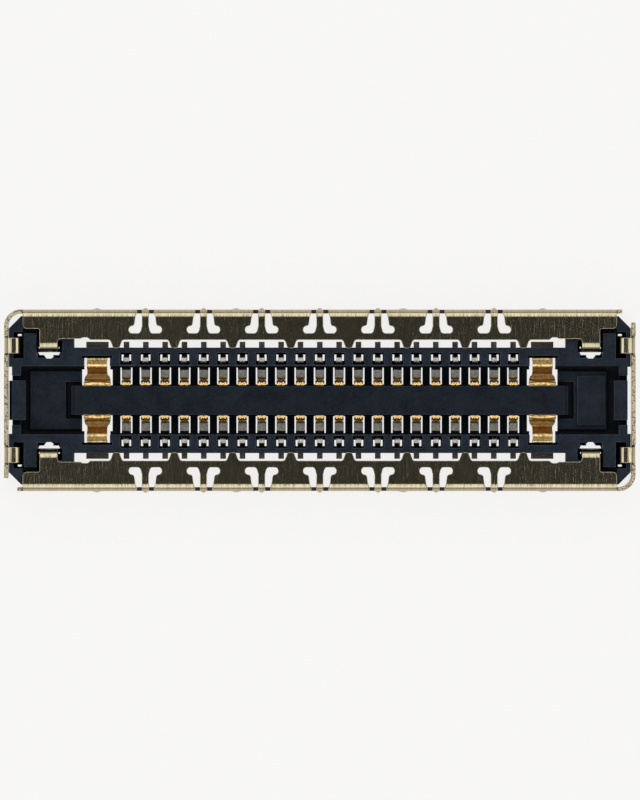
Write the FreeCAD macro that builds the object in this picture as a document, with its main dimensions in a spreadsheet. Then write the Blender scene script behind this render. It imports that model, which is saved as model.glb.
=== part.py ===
import FreeCAD, Part
import math
import os
import Sketcher

# Receptacle half of a shielded board-to-flex connector, solder side down.
# X runs along the rows of contacts, Y across them, Z up from the board. The origin is the middle of
# the footprint on the board. Sizes are in millimetres.
SIZES = {
    # the grid of contacts
    "pitch": 0.35,
    "columns": 21,
    "group": 3,
    "power_step": 1.5,
    # shell: sheet and outer form
    "sheet": 0.07,
    "shell_height": 0.66,
    "shell_half_width": 1.64,
    "corner_radius": 0.23,
    "bend_radius": 0.08,
    "bend_lead": 0.02,
    "end_wall_stop": 1.405,
    "long_wall_setback": 0.24,
    "flange_setback": 0.336,
    "flange_corner_depth": 0.347,
    "flange_corner_round": 0.08,
    "shoulder_width": 0.157,
    "window_gap": 0.137,
    "shoulder_notch_width": 0.18,
    "shoulder_notch_depth": 0.032,
    "shoulder_notch_offset": 0.21,
    "inside_round": 0.055,
    # shell: pointed tabs between the windows
    "point_gap": 0.002,
    "point_root_width": 0.22,
    "point_tip_width": 0.085,
    "point_tip_round": 0.03,
    # shell: spring fingers and the slots beside them
    "finger_band": 0.123,
    "finger_foot_height": 0.125,
    "finger_width": 0.126,
    "finger_root_width": 0.19,
    "finger_slot_width": 0.412,
    "finger_foot_width": 0.608,
    "finger_foot_cut": 0.035,
    "window_sill": 0.18,
    "finger_end": 0.24,
    "bump_stand": 0.03,
    "bump_height": 0.16,
    "bump_level": 0.40,
    # shell: lock dimples on the long wall
    "dimple_width": 0.22,
    "dimple_stand": 0.015,
    "dimple_inner": 1.51,
    "dimple_outer": 4.03,
    # shell: tabs that bend down from the flange
    "flange_tab_offset": 0.8725,
    "flange_tab_width": 0.325,
    "flange_tab_setback": 0.083,
    "flange_tab_end": 0.24,
    # shell: tabs that hook over the end walls
    "end_tab_offset": 0.995,
    "end_tab_width": 0.298,
    "end_tab_reach": 0.27,
    "end_tab_end": 0.26,
    "relief_width": 0.035,
    "relief_depth": 0.09,
    # shell: lower edge between the solder feet
    "foot_gap_width": 0.5,
    "foot_gap_height": 0.05,
    # clearances between pieces
    "seat_gap": 0.01,
    "fit_gap": 0.01,
    "shell_gap": 0.016,
    "side_gap": 0.05,
    # moulding: body
    "base_height": 0.06,
    "floor_height": 0.14,
    "wall_skin": 0.106,
    "cavity_half_width": 0.62,
    "end_room": 1.375,
    "end_wall": 0.214,
    "end_body_offset": 0.415,
    "end_chamfer": 0.22,
    "end_recess_depth": 0.055,
    "end_recess_half_width": 0.605,
    "key_height": 0.3,
    "point_notch_width": 0.253,
    "point_notch_reach": 0.027,
    "point_notch_depth": 0.06,
    # moulding: island, plinths and end blocks
    "island_half_width": 0.2585,
    "island_height": 0.52,
    "island_overhang": 0.395,
    "island_step_length": 0.065,
    "island_step_drop": 0.1,
    "plinth_height": 0.25,
    "plinth_half_width": 0.52,
    "plinth_channel_left": 0.17,
    "plinth_channel_right": 0.222,
    "island_channel": 0.111,
    "side_block_reach": 0.28,
    "side_block_width": 0.184,
    "pad_rise": 0.05,
    "pad_half_width": 0.443,
    "pad_margin": 0.025,
    "pad_length": 0.497,
    "block_half_width": 0.356,
    "block_stand": 0.083,
    "block_notch_width": 0.091,
    "block_notch_level": 0.25,
    # moulding: pockets for the shell's tabs
    "rim_width": 0.078,
    "tab_side_room": 0.09,
    "tab_back_room": 0.084,
    "pocket_level": 0.15,
    "flange_pocket_inner_room": 0.105,
    "flange_pocket_outer_room": 0.13,
    "flange_pocket_side_room": 0.045,
    "slit_width": 0.065,
    "slit_bump_width": 0.153,
    "slit_bump_depth": 0.05,
    "vent_length": 0.07,
    "vent_width": 0.035,
    # moulding: openings for the signal contacts
    "bar_width": 0.023,
    "hole_end_gap": 0.057,
    "hole_side_gap": 0.045,
    "hole_inner_reach": 0.036,
    "recess_margin": 0.0145,
    "recess_level": 0.24,
    "slot_side_gap": 0.0335,
    "slot_inner_gap": 0.006,
    # signal contacts
    "signal_sheet": 0.045,
    "tail_length": 0.107,
    "leg_gap": 0.037,
    "crest_span": 0.11,
    "crest_width": 0.09,
    "crest_height": 0.54,
    "beam_width": 0.163,
    "beam_level": 0.045,
    "arm_root_gap": 0.1355,
    "arm_lean": 0.027,
    "arm_tip_gap": 0.0365,
    "arm_height": 0.46,
    "rib_groove_width": 0.036,
    "rib_groove_depth": 0.014,
    "rib_groove_length": 0.1,
    # power contacts
    "power_sheet": 0.06,
    "power_tail_width": 0.4,
    "power_width": 0.363,
    "power_flare_width": 0.484,
    "power_leg_inset": 0.035,
    "power_crest_width": 0.155,
    "power_crest_height": 0.59,
    "power_slope": 0.11,
    "power_level": 0.05,
    "power_arm_root_gap": 0.1095,
    "power_arm_lean": 0.026,
    "power_tip_gap": 0.019,
    "power_arm_height": 0.45,
    "power_side_gap": 0.052,
    "power_flare_gap": 0.033,
    "power_step_level": 0.0635,
    "power_relief_width": 0.043,
    "power_relief_depth": 0.2,
    "power_flare_start": 0.03,
}

doc = FreeCAD.newDocument("shielded_connector")
sheet = doc.addObject("Spreadsheet::Sheet", "sizes")
for row, (alias, number) in enumerate(SIZES.items(), start=1):
    sheet.set(f"A{row}", alias)
    sheet.set(f"B{row}", str(number))
    sheet.setAlias(f"B{row}", alias)
doc.recompute()


class Size:
    """A length held both as a number and as the expression that ties it to the sheet."""

    def __init__(self, value, text):
        self.value = value
        self.text = text

    def __add__(self, other):
        other = as_size(other)
        return Size(self.value + other.value, f"({self.text} + {other.text})")

    def __sub__(self, other):
        other = as_size(other)
        return Size(self.value - other.value, f"({self.text} - {other.text})")

    def __mul__(self, other):
        other = as_size(other)
        return Size(self.value * other.value, f"({self.text} * {other.text})")

    def __truediv__(self, other):
        other = as_size(other)
        return Size(self.value / other.value, f"({self.text} / {other.text})")

    def __neg__(self):
        return Size(-self.value, f"(-1 * {self.text})")


def as_size(thing):
    """A plain number as a Size, and a Size as it is."""
    if isinstance(thing, Size):
        return thing
    return Size(float(thing), repr(float(thing)))


class Cells:
    """Reads each cell of the sheet by its alias."""

    def __getattr__(self, alias):
        return Size(float(sheet.get(alias)), f"sizes.{alias}")


mm = Cells()
ZERO = as_size(0)

# along the connector, from the middle outwards
signal_reach = (mm.columns - 1) / 2 * mm.pitch
power_x = signal_reach + mm.power_step * mm.pitch
island_end = power_x + mm.island_overhang
cavity_end = power_x + mm.end_room
end_body_start = power_x + mm.end_body_offset
housing_end = cavity_end + mm.end_wall
shell_end = housing_end + mm.shell_gap + mm.sheet
flange_end = shell_end - mm.flange_setback
flange_tab_x = power_x + mm.flange_tab_offset

# across the connector, from the middle outwards
bar_outer = mm.cavity_half_width + mm.bar_width
crest_inner = bar_outer + mm.leg_gap
leg_face = crest_inner + mm.crest_span
hole_outer = leg_face + mm.hole_end_gap
body_side = hole_outer + mm.wall_skin
tail_end = body_side + mm.tail_length
point_tip = body_side + mm.point_gap
window_edge = body_side + mm.window_gap
shoulder_edge = body_side + mm.shoulder_width
slot_root = window_edge + mm.finger_band
slot_foot = slot_root + mm.finger_foot_height
arm_root = mm.island_half_width + mm.arm_root_gap
arm_tip = mm.island_half_width + mm.arm_tip_gap
flange_tab_face = body_side - mm.flange_tab_setback
end_body_side = mm.shell_half_width - mm.sheet - mm.side_gap

# heights
wall_top = mm.shell_height - mm.sheet - mm.seat_gap
bend_start = mm.shell_height - mm.sheet - mm.bend_radius - mm.bend_lead

# counts, and the first place of what repeats along the row
finger_count = int(mm.columns.value // mm.group.value)
finger_step = mm.group * mm.pitch
first_finger = -(finger_step * (finger_count - 1) / 2)
first_point = first_finger - finger_step / 2
CUT_MARGIN = 0.05

# a flat facet as long as this part of the sheet keeps the sheet's thickness across a square bend
BEND_FACET = 2 - math.sqrt(2)
OUTWARD, INWARD, UPWARD, DOWNWARD = (1, 0), (-1, 0), (0, 1), (0, -1)


class Drawing:
    """A sketch on one of a body's planes, with every corner and radius tied to the sheet."""

    def __init__(self, body, name, plane, lift):
        self.sketch = body.newObject("Sketcher::SketchObject", name)
        self.sketch.AttachmentSupport = (origin_part(body, plane), [""])
        self.sketch.MapMode = "FlatFace"
        self.sketch.setExpression("AttachmentOffset.Base.z", as_size(lift).text)
        self.rules = []
        self.ties = []

    def hold(self, *rule, size=None):
        """Adds a constraint, whose value is a Size where it has one."""
        if size is not None:
            self.ties.append((len(self.rules), size.text))
            rule = (*rule, size.value)
        self.rules.append(Sketcher.Constraint(*rule))

    def place(self, geometry, end, x, y):
        """Holds one end of a piece of geometry at a point."""
        self.hold("DistanceX", -1, 1, geometry, end, size=x)
        self.hold("DistanceY", -1, 1, geometry, end, size=y)

    def chain(self, corners, radii, closed):
        """Draws straight sides between corners, with a tangent arc at each corner that has a radius."""
        count = len(corners)
        rounds = {}
        for i, radius in enumerate(radii):
            if radius:
                rounds[i] = corner_round(corners[i - 1], corners[i], corners[(i + 1) % count], radius)
        sides = []
        for i in range(count if closed else count - 1):
            j = (i + 1) % count
            start = rounds[i]["leave"] if i in rounds else corners[i]
            end = rounds[j]["arrive"] if j in rounds else corners[j]
            sides.append(self.sketch.addGeometry(Part.LineSegment(start, end), False))
        arcs = {}
        for i, turn in rounds.items():
            arcs[i] = self.sketch.addGeometry(turn["arc"], False)
            self.hold("Tangent", sides[i - 1], 2, arcs[i], 1 if turn["left"] else 2)
            self.hold("Tangent", arcs[i], 2 if turn["left"] else 1, sides[i], 1)
        for i in range(0 if closed else 1, len(sides)):
            if i not in rounds:
                self.hold("Coincident", sides[i - 1], 2, sides[i], 1)
        return sides, arcs

    def loop(self, corners):
        """Draws a closed outline. A corner is (x, y), or (x, y, radius) where it is rounded."""
        corners = [[as_size(value) for value in corner] for corner in corners]
        points = [FreeCAD.Vector(corner[0].value, corner[1].value, 0) for corner in corners]
        radii = [corner[2].value if len(corner) > 2 else 0 for corner in corners]
        sides, arcs = self.chain(points, radii, True)
        for i, corner in enumerate(corners):
            if i in arcs:
                self.corner_point(points[i], corner[0], corner[1], sides[i - 1], sides[i])
                self.hold("Radius", arcs[i], size=corner[2])
            else:
                self.place(sides[i], 1, corner[0], corner[1])

    def corner_point(self, point, x, y, side_before, side_after):
        """Holds the point where two sides would meet if their corner weren't rounded."""
        mark = self.sketch.addGeometry(Part.Point(point), True)
        self.hold("PointOnObject", mark, 1, side_before)
        self.hold("PointOnObject", mark, 1, side_after)
        self.place(mark, 1, x, y)

    def strip(self, face, thickness):
        """Draws the section of a bent strip from the corners of one face.

        A bend's radius is that of its inner side. The other face runs parallel, on the left of the
        direction in which the corners are given.
        """
        face = [[as_size(value) for value in corner] for corner in face]
        points = [FreeCAD.Vector(corner[0].value, corner[1].value, 0) for corner in face]
        back_points = offset_points(points, thickness.value)
        face_radii = []
        back_radii = []
        for i, corner in enumerate(face):
            if len(corner) < 3:
                face_radii.append(ZERO)
                back_radii.append(ZERO)
                continue
            face_inside = (points[i] - points[i - 1]).cross(points[i + 1] - points[i]).z < 0
            face_radii.append(corner[2] if face_inside else corner[2] + thickness)
            back_radii.append(corner[2] + thickness if face_inside else corner[2])
        sides, arcs = self.chain(points, [radius.value for radius in face_radii], False)
        backs, back_arcs = self.chain(back_points, [radius.value for radius in back_radii], False)
        self.place(sides[0], 1, face[0][0], face[0][1])
        self.place(sides[-1], 2, face[-1][0], face[-1][1])
        for i, arc in arcs.items():
            self.corner_point(points[i], face[i][0], face[i][1], sides[i - 1], sides[i])
            self.hold("Radius", arc, size=face_radii[i])
            self.hold("Coincident", arc, 3, back_arcs[i], 3)
            self.hold("Radius", back_arcs[i], size=back_radii[i])
        self.hold("Parallel", sides[0], backs[0])
        self.hold("Parallel", sides[-1], backs[-1])
        for side, back, end in ((sides[0], backs[0], 1), (sides[-1], backs[-1], 2)):
            ends = [self.sketch.getPoint(side, end), self.sketch.getPoint(back, end)]
            cap = self.sketch.addGeometry(Part.LineSegment(*ends), False)
            self.hold("Coincident", cap, 1, side, end)
            self.hold("Coincident", cap, 2, back, end)
            self.hold("Perpendicular", cap, side)

    def finish(self):
        """Puts the constraints on the geometry and ties their values to the sheet."""
        self.sketch.addConstraint(self.rules)
        for index, text in self.ties:
            self.sketch.setExpression(f"Constraints[{index}]", text)
        return self.sketch


def corner_round(before, corner, after, radius):
    """The arc that rounds a corner, with the points where it meets the two sides."""
    back = (before - corner).normalize()
    ahead = (after - corner).normalize()
    half = back.getAngle(ahead) / 2
    arrive = corner + back * (radius / math.tan(half))
    leave = corner + ahead * (radius / math.tan(half))
    centre = corner + (back + ahead).normalize() * (radius / math.sin(half))
    left = ahead.cross(back).z > 0
    first, last = (arrive, leave) if left else (leave, arrive)
    angles = [math.atan2(point.y - centre.y, point.x - centre.x) for point in (first, last)]
    circle = Part.Circle(centre, FreeCAD.Vector(0, 0, 1), radius)
    return {"arrive": arrive, "leave": leave, "left": left, "arc": Part.ArcOfCircle(circle, *angles)}


def offset_points(points, shift):
    """Corners of the line that runs beside the given one, shifted to its left."""
    normals = []
    for start, end in zip(points, points[1:]):
        along = (end - start).normalize()
        normals.append(FreeCAD.Vector(-along.y, along.x, 0))
    moved = []
    for i, point in enumerate(points):
        first = normals[max(i - 1, 0)]
        second = normals[min(i, len(normals) - 1)]
        moved.append(point + (first + second) * (shift / (1 + first.dot(second))))
    return moved


def origin_part(body, role):
    """One of the planes or axes of a body's own origin."""
    return next(part for part in body.Origin.OriginFeatures if part.Role == role)


def outlines(body, name, plane, lift, loops):
    """A sketch of closed outlines."""
    drawing = Drawing(body, name, plane, lift)
    for corners in loops:
        drawing.loop(corners)
    return drawing.finish()


def strip_section(body, name, plane, lift, face, thickness):
    """A sketch of a bent strip's section."""
    drawing = Drawing(body, name, plane, lift)
    drawing.strip(face, thickness)
    return drawing.finish()


def settle(body, feature, grows):
    """Recomputes a new feature and makes sure that it added or took away material."""
    before = 0 if body.Tip is feature or body.Tip is None else body.Tip.Shape.Volume
    body.Tip = feature
    doc.recompute()
    change = feature.Shape.Volume - before
    if (change > 0) != grows:
        raise RuntimeError(f"{feature.Label} of {body.Label} changes the volume by {change}")
    return feature


def extrude(body, kind, name, sketch, length, way):
    """A pad or pocket: way is forward, backward or symmetric. No length cuts right through."""
    last = body.Tip
    feature = body.newObject(f"PartDesign::{kind}", name)
    feature.Profile = sketch
    if length is None:
        feature.Type = "ThroughAll"
    else:
        feature.setExpression("Length", as_size(length).text)
    if way == "symmetric":
        feature.SideType = "Symmetric"
    feature.Reversed = way == "backward"
    body.Tip = last
    return settle(body, feature, kind == "Pad")


def pad(body, name, sketch, length, way="forward"):
    """Adds material along a sketch's normal."""
    return extrude(body, "Pad", name, sketch, length, way)


def pocket(body, name, sketch, length=None, way="forward"):
    """Takes material away against a sketch's normal."""
    return extrude(body, "Pocket", name, sketch, length, way)


def repeat_along_x(body, name, features, step, count, grows):
    """Repeats features towards +X."""
    last = body.Tip
    pattern = body.newObject("PartDesign::LinearPattern", name)
    pattern.Originals = features
    pattern.Direction = (origin_part(body, "X_Axis"), [""])
    pattern.setExpression("Length", (step * (count - 1)).text)
    pattern.Occurrences = count
    body.Tip = last
    return settle(body, pattern, grows)


def mirror(body, name, features, plane, grows):
    """Mirrors features in one of the body's planes."""
    last = body.Tip
    mirrored = body.newObject("PartDesign::Mirrored", name)
    mirrored.Originals = features
    mirrored.MirrorPlane = (origin_part(body, plane), [""])
    body.Tip = last
    return settle(body, mirrored, grows)


def rectangle(x_low, x_high, y_low, y_high):
    """The corners of a rectangle."""
    return [(x_low, y_low), (x_high, y_low), (x_high, y_high), (x_low, y_high)]


def flip_x(corners):
    """An outline mirrored in X."""
    return [(-as_size(corner[0]), *corner[1:]) for corner in corners]


def flip_y(corners):
    """An outline mirrored in Y."""
    return [(corner[0], -as_size(corner[1]), *corner[2:]) for corner in corners]


def bend_facet(x, y, toward_last, toward_next, cut):
    """The two corners of the flat facet that stands for the outer side of a small bend."""
    corners = []
    for step_x, step_y in (toward_last, toward_next):
        corners.append((x + cut * step_x, y + cut * step_y))
    return corners


def both_rows(corners):
    """An outline and its mirror image across the row's middle line."""
    return [corners, flip_y(corners)]


def four_corners(corners):
    """An outline at all four corners of the connector."""
    return [*both_rows(corners), *both_rows(flip_x(corners))]


def new_body(label):
    """An empty body whose label is its node's name."""
    body = doc.addObject("PartDesign::Body", label)
    body.Label = label
    return body


def signal_openings(housing):
    """Cuts what the signal contacts stand in, one column and then the rest."""
    x = -signal_reach
    crest_half = mm.crest_width / 2
    hole_half = crest_half + mm.hole_side_gap
    recess_half = hole_half + mm.recess_margin
    slot_half = mm.beam_width / 2 + mm.slot_side_gap
    tunnel_half = crest_half + mm.fit_gap
    slot_outer = mm.cavity_half_width
    hole_inner = crest_inner + mm.hole_inner_reach
    recess = rectangle(x - recess_half, x + recess_half, bar_outer, hole_outer + mm.recess_margin)
    hole = rectangle(x - hole_half, x + hole_half, hole_inner, hole_outer)
    slot = rectangle(x - slot_half, x + slot_half, arm_tip - mm.slot_inner_gap, slot_outer)
    tunnel = rectangle(
        x - tunnel_half, x + tunnel_half, slot_outer - mm.fit_gap, hole_inner + mm.fit_gap
    )
    top = wall_top
    base = mm.base_height
    cuts = [
        pocket(
            housing,
            "crest_recess",
            outlines(housing, "crest_recess_plan", "XY_Plane", top, both_rows(recess)),
            top - mm.recess_level,
        ),
        pocket(
            housing,
            "contact_holes",
            outlines(housing, "contact_hole_plan", "XY_Plane", top, both_rows(hole) + both_rows(slot)),
        ),
        pocket(
            housing,
            "beam_tunnel",
            outlines(housing, "beam_tunnel_plan", "XY_Plane", base, both_rows(tunnel)),
            mm.recess_level - base,
            "backward",
        ),
    ]
    count = int(mm.columns.value)
    repeat_along_x(housing, "signal_columns", cuts, mm.pitch, count, False)


def power_openings(housing):
    """Cuts the four openings for the power contacts, with room for their upper and lower bends."""
    narrow = mm.power_width / 2 + mm.power_side_gap
    wide = mm.power_flare_width / 2 + mm.power_flare_gap
    leg = leg_face - mm.power_leg_inset + mm.fit_gap
    step = mm.cavity_half_width - mm.power_step_level
    end = mm.island_half_width + mm.power_tip_gap - mm.fit_gap / 2
    opening = [
        (power_x - wide, end),
        (power_x + wide, end),
        (power_x + wide, step),
        (power_x + narrow, step),
        (power_x + narrow, leg),
        (power_x - narrow, leg),
        (power_x - narrow, step),
        (power_x - wide, step),
    ]
    relief = rectangle(
        power_x - wide, power_x + wide, leg - mm.fit_gap, leg + mm.power_relief_width
    )
    bend_half = mm.power_tail_width / 2 + mm.fit_gap
    bend_end = leg + mm.fit_gap
    bend = rectangle(power_x - bend_half, power_x + bend_half, leg - mm.fit_gap, bend_end)
    openings = outlines(housing, "power_opening_plan", "XY_Plane", wall_top, four_corners(opening))
    pocket(housing, "power_openings", openings)
    reliefs = outlines(housing, "power_relief_plan", "XY_Plane", wall_top, four_corners(relief))
    pocket(housing, "power_reliefs", reliefs, mm.power_relief_depth)
    bends = outlines(housing, "power_bend_plan", "XY_Plane", mm.base_height, four_corners(bend))
    bend_top = mm.power_sheet + mm.fit_gap
    pocket(housing, "power_bend_room", bends, bend_top - mm.base_height, "backward")


def tab_pockets(housing):
    """Cuts the pockets that take the shell's tabs, and the slits that show through below them."""
    end_outer = housing_end - mm.rim_width
    end_inner = shell_end - mm.end_tab_reach - mm.tab_back_room
    end_half = mm.end_tab_width / 2 + mm.tab_side_room
    end_pocket = rectangle(
        end_inner, end_outer, mm.end_tab_offset - end_half, mm.end_tab_offset + end_half
    )
    tab_half = mm.flange_tab_width / 2 + mm.flange_pocket_side_room
    inner = flange_tab_face - mm.flange_pocket_inner_room
    outer = flange_tab_face + mm.sheet + mm.flange_pocket_outer_room
    flange_pocket = rectangle(flange_tab_x - tab_half, flange_tab_x + tab_half, inner, outer)
    pockets = outlines(
        housing,
        "tab_pocket_plan",
        "XY_Plane",
        wall_top,
        four_corners(end_pocket) + four_corners(flange_pocket),
    )
    pocket(housing, "tab_pockets", pockets, wall_top - mm.pocket_level)
    slit_half = tab_half - mm.fit_gap
    bump_half = mm.slit_bump_width / 2
    slit_inner = flange_tab_face - mm.slit_width
    slit = [
        (flange_tab_x - slit_half, flange_tab_face),
        (flange_tab_x - slit_half + mm.slit_width / 2, slit_inner),
        (flange_tab_x - bump_half, slit_inner),
        (flange_tab_x - bump_half, slit_inner - mm.slit_bump_depth / 2),
        (flange_tab_x + bump_half, slit_inner - mm.slit_bump_depth / 2),
        (flange_tab_x + bump_half, slit_inner),
        (flange_tab_x + slit_half - mm.slit_width / 2, slit_inner),
        (flange_tab_x + slit_half, flange_tab_face),
    ]
    vent_top = mm.end_tab_offset + end_half - mm.vent_width
    vent = rectangle(
        end_outer - mm.vent_length * 2, end_outer - mm.vent_length, vent_top - mm.vent_width, vent_top
    )
    through = four_corners(slit) + four_corners(vent)
    pocket(housing, "tab_slits", outlines(housing, "tab_slit_plan", "XY_Plane", wall_top, through))


def mating_cavity(housing):
    """Cuts the cavity that takes the mating half and builds what stands in it."""
    floor = mm.floor_height
    cavity = rectangle(-cavity_end, cavity_end, -mm.cavity_half_width, mm.cavity_half_width)
    cavity_plan = outlines(housing, "cavity_plan", "XY_Plane", wall_top, [cavity])
    pocket(housing, "cavity", cavity_plan, wall_top - floor)
    island = rectangle(-island_end, island_end, -mm.island_half_width, mm.island_half_width)
    island_plan = outlines(housing, "island_plan", "XY_Plane", floor, [island])
    pad(housing, "island", island_plan, mm.island_height - floor)
    step_end = island_end + mm.island_step_length
    step = rectangle(-step_end, step_end, -mm.island_half_width, mm.island_half_width)
    step_plan = outlines(housing, "island_step_plan", "XY_Plane", floor, [step])
    pad(housing, "island_steps", step_plan, mm.island_height - mm.island_step_drop - floor)

    plinth_inner = step_end + mm.island_channel
    block_inner = plinth_inner - mm.side_block_reach
    notch_half = mm.plinth_half_width - mm.side_block_width
    plinths = []
    for channel, flip in ((mm.plinth_channel_left, True), (mm.plinth_channel_right, False)):
        outer = cavity_end - channel
        plinth = [
            (outer, -mm.plinth_half_width),
            (outer, mm.plinth_half_width),
            (block_inner, mm.plinth_half_width),
            (block_inner, notch_half),
            (plinth_inner, notch_half),
            (plinth_inner, -notch_half),
            (block_inner, -notch_half),
            (block_inner, -mm.plinth_half_width),
        ]
        plinths.append(flip_x(plinth) if flip else plinth)
    plinth_plan = outlines(housing, "plinth_plan", "XY_Plane", floor, plinths)
    pad(housing, "plinths", plinth_plan, mm.plinth_height - floor)
    pad_outer = cavity_end - mm.plinth_channel_right - mm.pad_margin
    raised = rectangle(pad_outer - mm.pad_length, pad_outer, -mm.pad_half_width, mm.pad_half_width)
    raised_plan = outlines(housing, "raised_pad_plan", "XY_Plane", mm.plinth_height, [raised])
    pad(housing, "raised_pad", raised_plan, mm.pad_rise)

    block = rectangle(
        cavity_end - mm.block_stand, cavity_end, -mm.block_half_width, mm.block_half_width
    )
    block_plan = outlines(housing, "end_block_plan", "XY_Plane", floor, [block, flip_x(block)])
    pad(housing, "end_blocks", block_plan, wall_top - floor)
    notch_outer = housing_end - mm.end_recess_depth
    notch = rectangle(
        cavity_end - mm.block_stand,
        notch_outer + CUT_MARGIN,
        mm.block_half_width,
        mm.block_half_width + mm.block_notch_width,
    )
    notch_plan = outlines(housing, "block_notch_plan", "XY_Plane", wall_top, four_corners(notch))
    pocket(housing, "block_notches", notch_plan, wall_top - mm.block_notch_level)


def end_recesses(housing):
    """Cuts the recesses behind the shell's end walls; a key stays in the left one."""
    inner = housing_end - mm.end_recess_depth
    outer = housing_end + CUT_MARGIN
    half = mm.end_recess_half_width
    right = rectangle(inner, outer, -half, half)
    left = flip_x(rectangle(inner, outer, mm.block_half_width, half))
    plan = outlines(housing, "end_recess_plan", "XY_Plane", wall_top, [right, *both_rows(left)])
    pocket(housing, "end_recesses", plan)
    key = flip_x(rectangle(inner, outer, -mm.block_half_width, mm.block_half_width))
    key_plan = outlines(housing, "key_plan", "XY_Plane", wall_top, [key])
    pocket(housing, "key_top", key_plan, wall_top - mm.key_height)


def build_housing():
    """The moulded body: an end body at each end, side walls, cavity, island and all openings."""
    housing = new_body("housing")
    side = body_side
    chamfer_x = housing_end - mm.end_chamfer
    chamfer_y = end_body_side - mm.end_chamfer
    quarter = [
        (end_body_start, side),
        (end_body_start, end_body_side),
        (chamfer_x, end_body_side),
        (housing_end, chamfer_y),
    ]
    right = flip_y(quarter) + quarter[::-1]
    plan = right + flip_x(flip_y(right))
    base = outlines(housing, "body_plan", "XY_Plane", mm.base_height, [plan])
    pad(housing, "body", base, wall_top - mm.base_height)
    mating_cavity(housing)
    end_recesses(housing)
    tab_pockets(housing)
    power_openings(housing)
    notch = rectangle(
        first_point - mm.point_notch_width / 2,
        first_point + mm.point_notch_width / 2,
        side - mm.point_notch_reach,
        side + CUT_MARGIN,
    )
    notch_plan = outlines(housing, "point_notch_plan", "XY_Plane", wall_top, both_rows(notch))
    notches = pocket(housing, "point_notch", notch_plan, mm.point_notch_depth)
    repeat_along_x(housing, "point_notches", [notches], finger_step, finger_count + 1, False)
    signal_openings(housing)
    return housing


def shell_walls(half):
    """The half's long wall and end wall, joined round one corner."""
    low, high = ZERO, mm.shell_height - mm.seat_gap
    path = [
        (shell_end - mm.long_wall_setback, mm.shell_half_width),
        (-shell_end, mm.shell_half_width, mm.corner_radius),
        (-shell_end, -mm.end_wall_stop),
    ]
    plan = strip_section(half, "wall_plan", "XY_Plane", low, path, mm.sheet)
    pad(half, "walls", plan, high)
    open_top = rectangle(
        -flange_end,
        flange_end,
        mm.shell_half_width - mm.sheet - CUT_MARGIN,
        mm.shell_half_width + CUT_MARGIN,
    )
    top_plan = outlines(half, "wall_top_plan", "XY_Plane", high, [open_top])
    pocket(half, "wall_top", top_plan, high - bend_start)


def shell_flange(half):
    """The flange that bends in from the long wall, cut to its outline."""
    section = [
        (mm.shell_half_width, bend_start),
        (mm.shell_half_width, mm.shell_height, mm.bend_radius),
        (point_tip, mm.shell_height),
    ]
    bend = strip_section(half, "flange_section", "YZ_Plane", ZERO, section, mm.sheet)
    pad(half, "flange", bend, flange_end * 2, "symmetric")

    tab_outer = flange_tab_x + mm.flange_tab_width / 2
    tab_inner = flange_tab_x - mm.flange_tab_width / 2
    corner_edge = mm.shell_half_width - mm.flange_corner_depth
    notch_x = power_x + mm.shoulder_notch_offset
    notch_half = mm.shoulder_notch_width / 2
    notch_edge = shoulder_edge + mm.shoulder_notch_depth
    beyond = point_tip - CUT_MARGIN
    first_root = -first_point + mm.point_root_width / 2
    first_tip = -first_point + mm.point_tip_width / 2
    corner_cut = [
        (tab_outer, beyond),
        (flange_end + CUT_MARGIN, beyond),
        (flange_end + CUT_MARGIN, corner_edge + mm.flange_corner_round + CUT_MARGIN),
        (flange_end, corner_edge + mm.flange_corner_round + CUT_MARGIN),
        (flange_end, corner_edge, mm.flange_corner_round),
        (tab_outer, corner_edge, mm.point_tip_round),
    ]
    shoulder_cut = [
        (tab_inner, beyond),
        (first_tip - CUT_MARGIN / 2, beyond),
        (first_tip, point_tip + mm.point_tip_round),
        (first_root, window_edge),
        (notch_x - notch_half, window_edge),
        (notch_x - notch_half, notch_edge, mm.point_tip_round / 2),
        (notch_x + notch_half, notch_edge, mm.point_tip_round / 2),
        (notch_x + notch_half, shoulder_edge),
        (tab_inner, shoulder_edge, mm.inside_round),
    ]
    cuts = [corner_cut, shoulder_cut]
    plan = outlines(
        half,
        "flange_end_plan",
        "XY_Plane",
        mm.shell_height,
        [*cuts, *(flip_x(cut) for cut in cuts)],
    )
    pocket(half, "flange_ends", plan, mm.sheet + CUT_MARGIN)


def shell_windows(half):
    """The windows over the contact tails, with a pointed tab left between each two."""
    beyond = point_tip - CUT_MARGIN
    root_reach = (finger_step - mm.point_root_width) / 2
    tip_reach = (finger_step - mm.point_tip_width) / 2
    beyond_reach = tip_reach + CUT_MARGIN / 2
    straight_end = point_tip + mm.point_tip_round
    window = [
        (first_finger - root_reach, window_edge),
        (first_finger - tip_reach, straight_end),
        (first_finger - beyond_reach, beyond),
        (first_finger + beyond_reach, beyond),
        (first_finger + tip_reach, straight_end),
        (first_finger + root_reach, window_edge),
    ]
    window_plan = outlines(half, "window_plan", "XY_Plane", mm.shell_height, [window])
    windows = pocket(half, "window", window_plan, mm.sheet + CUT_MARGIN)
    repeat_along_x(half, "windows", [windows], finger_step, finger_count, False)


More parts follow.
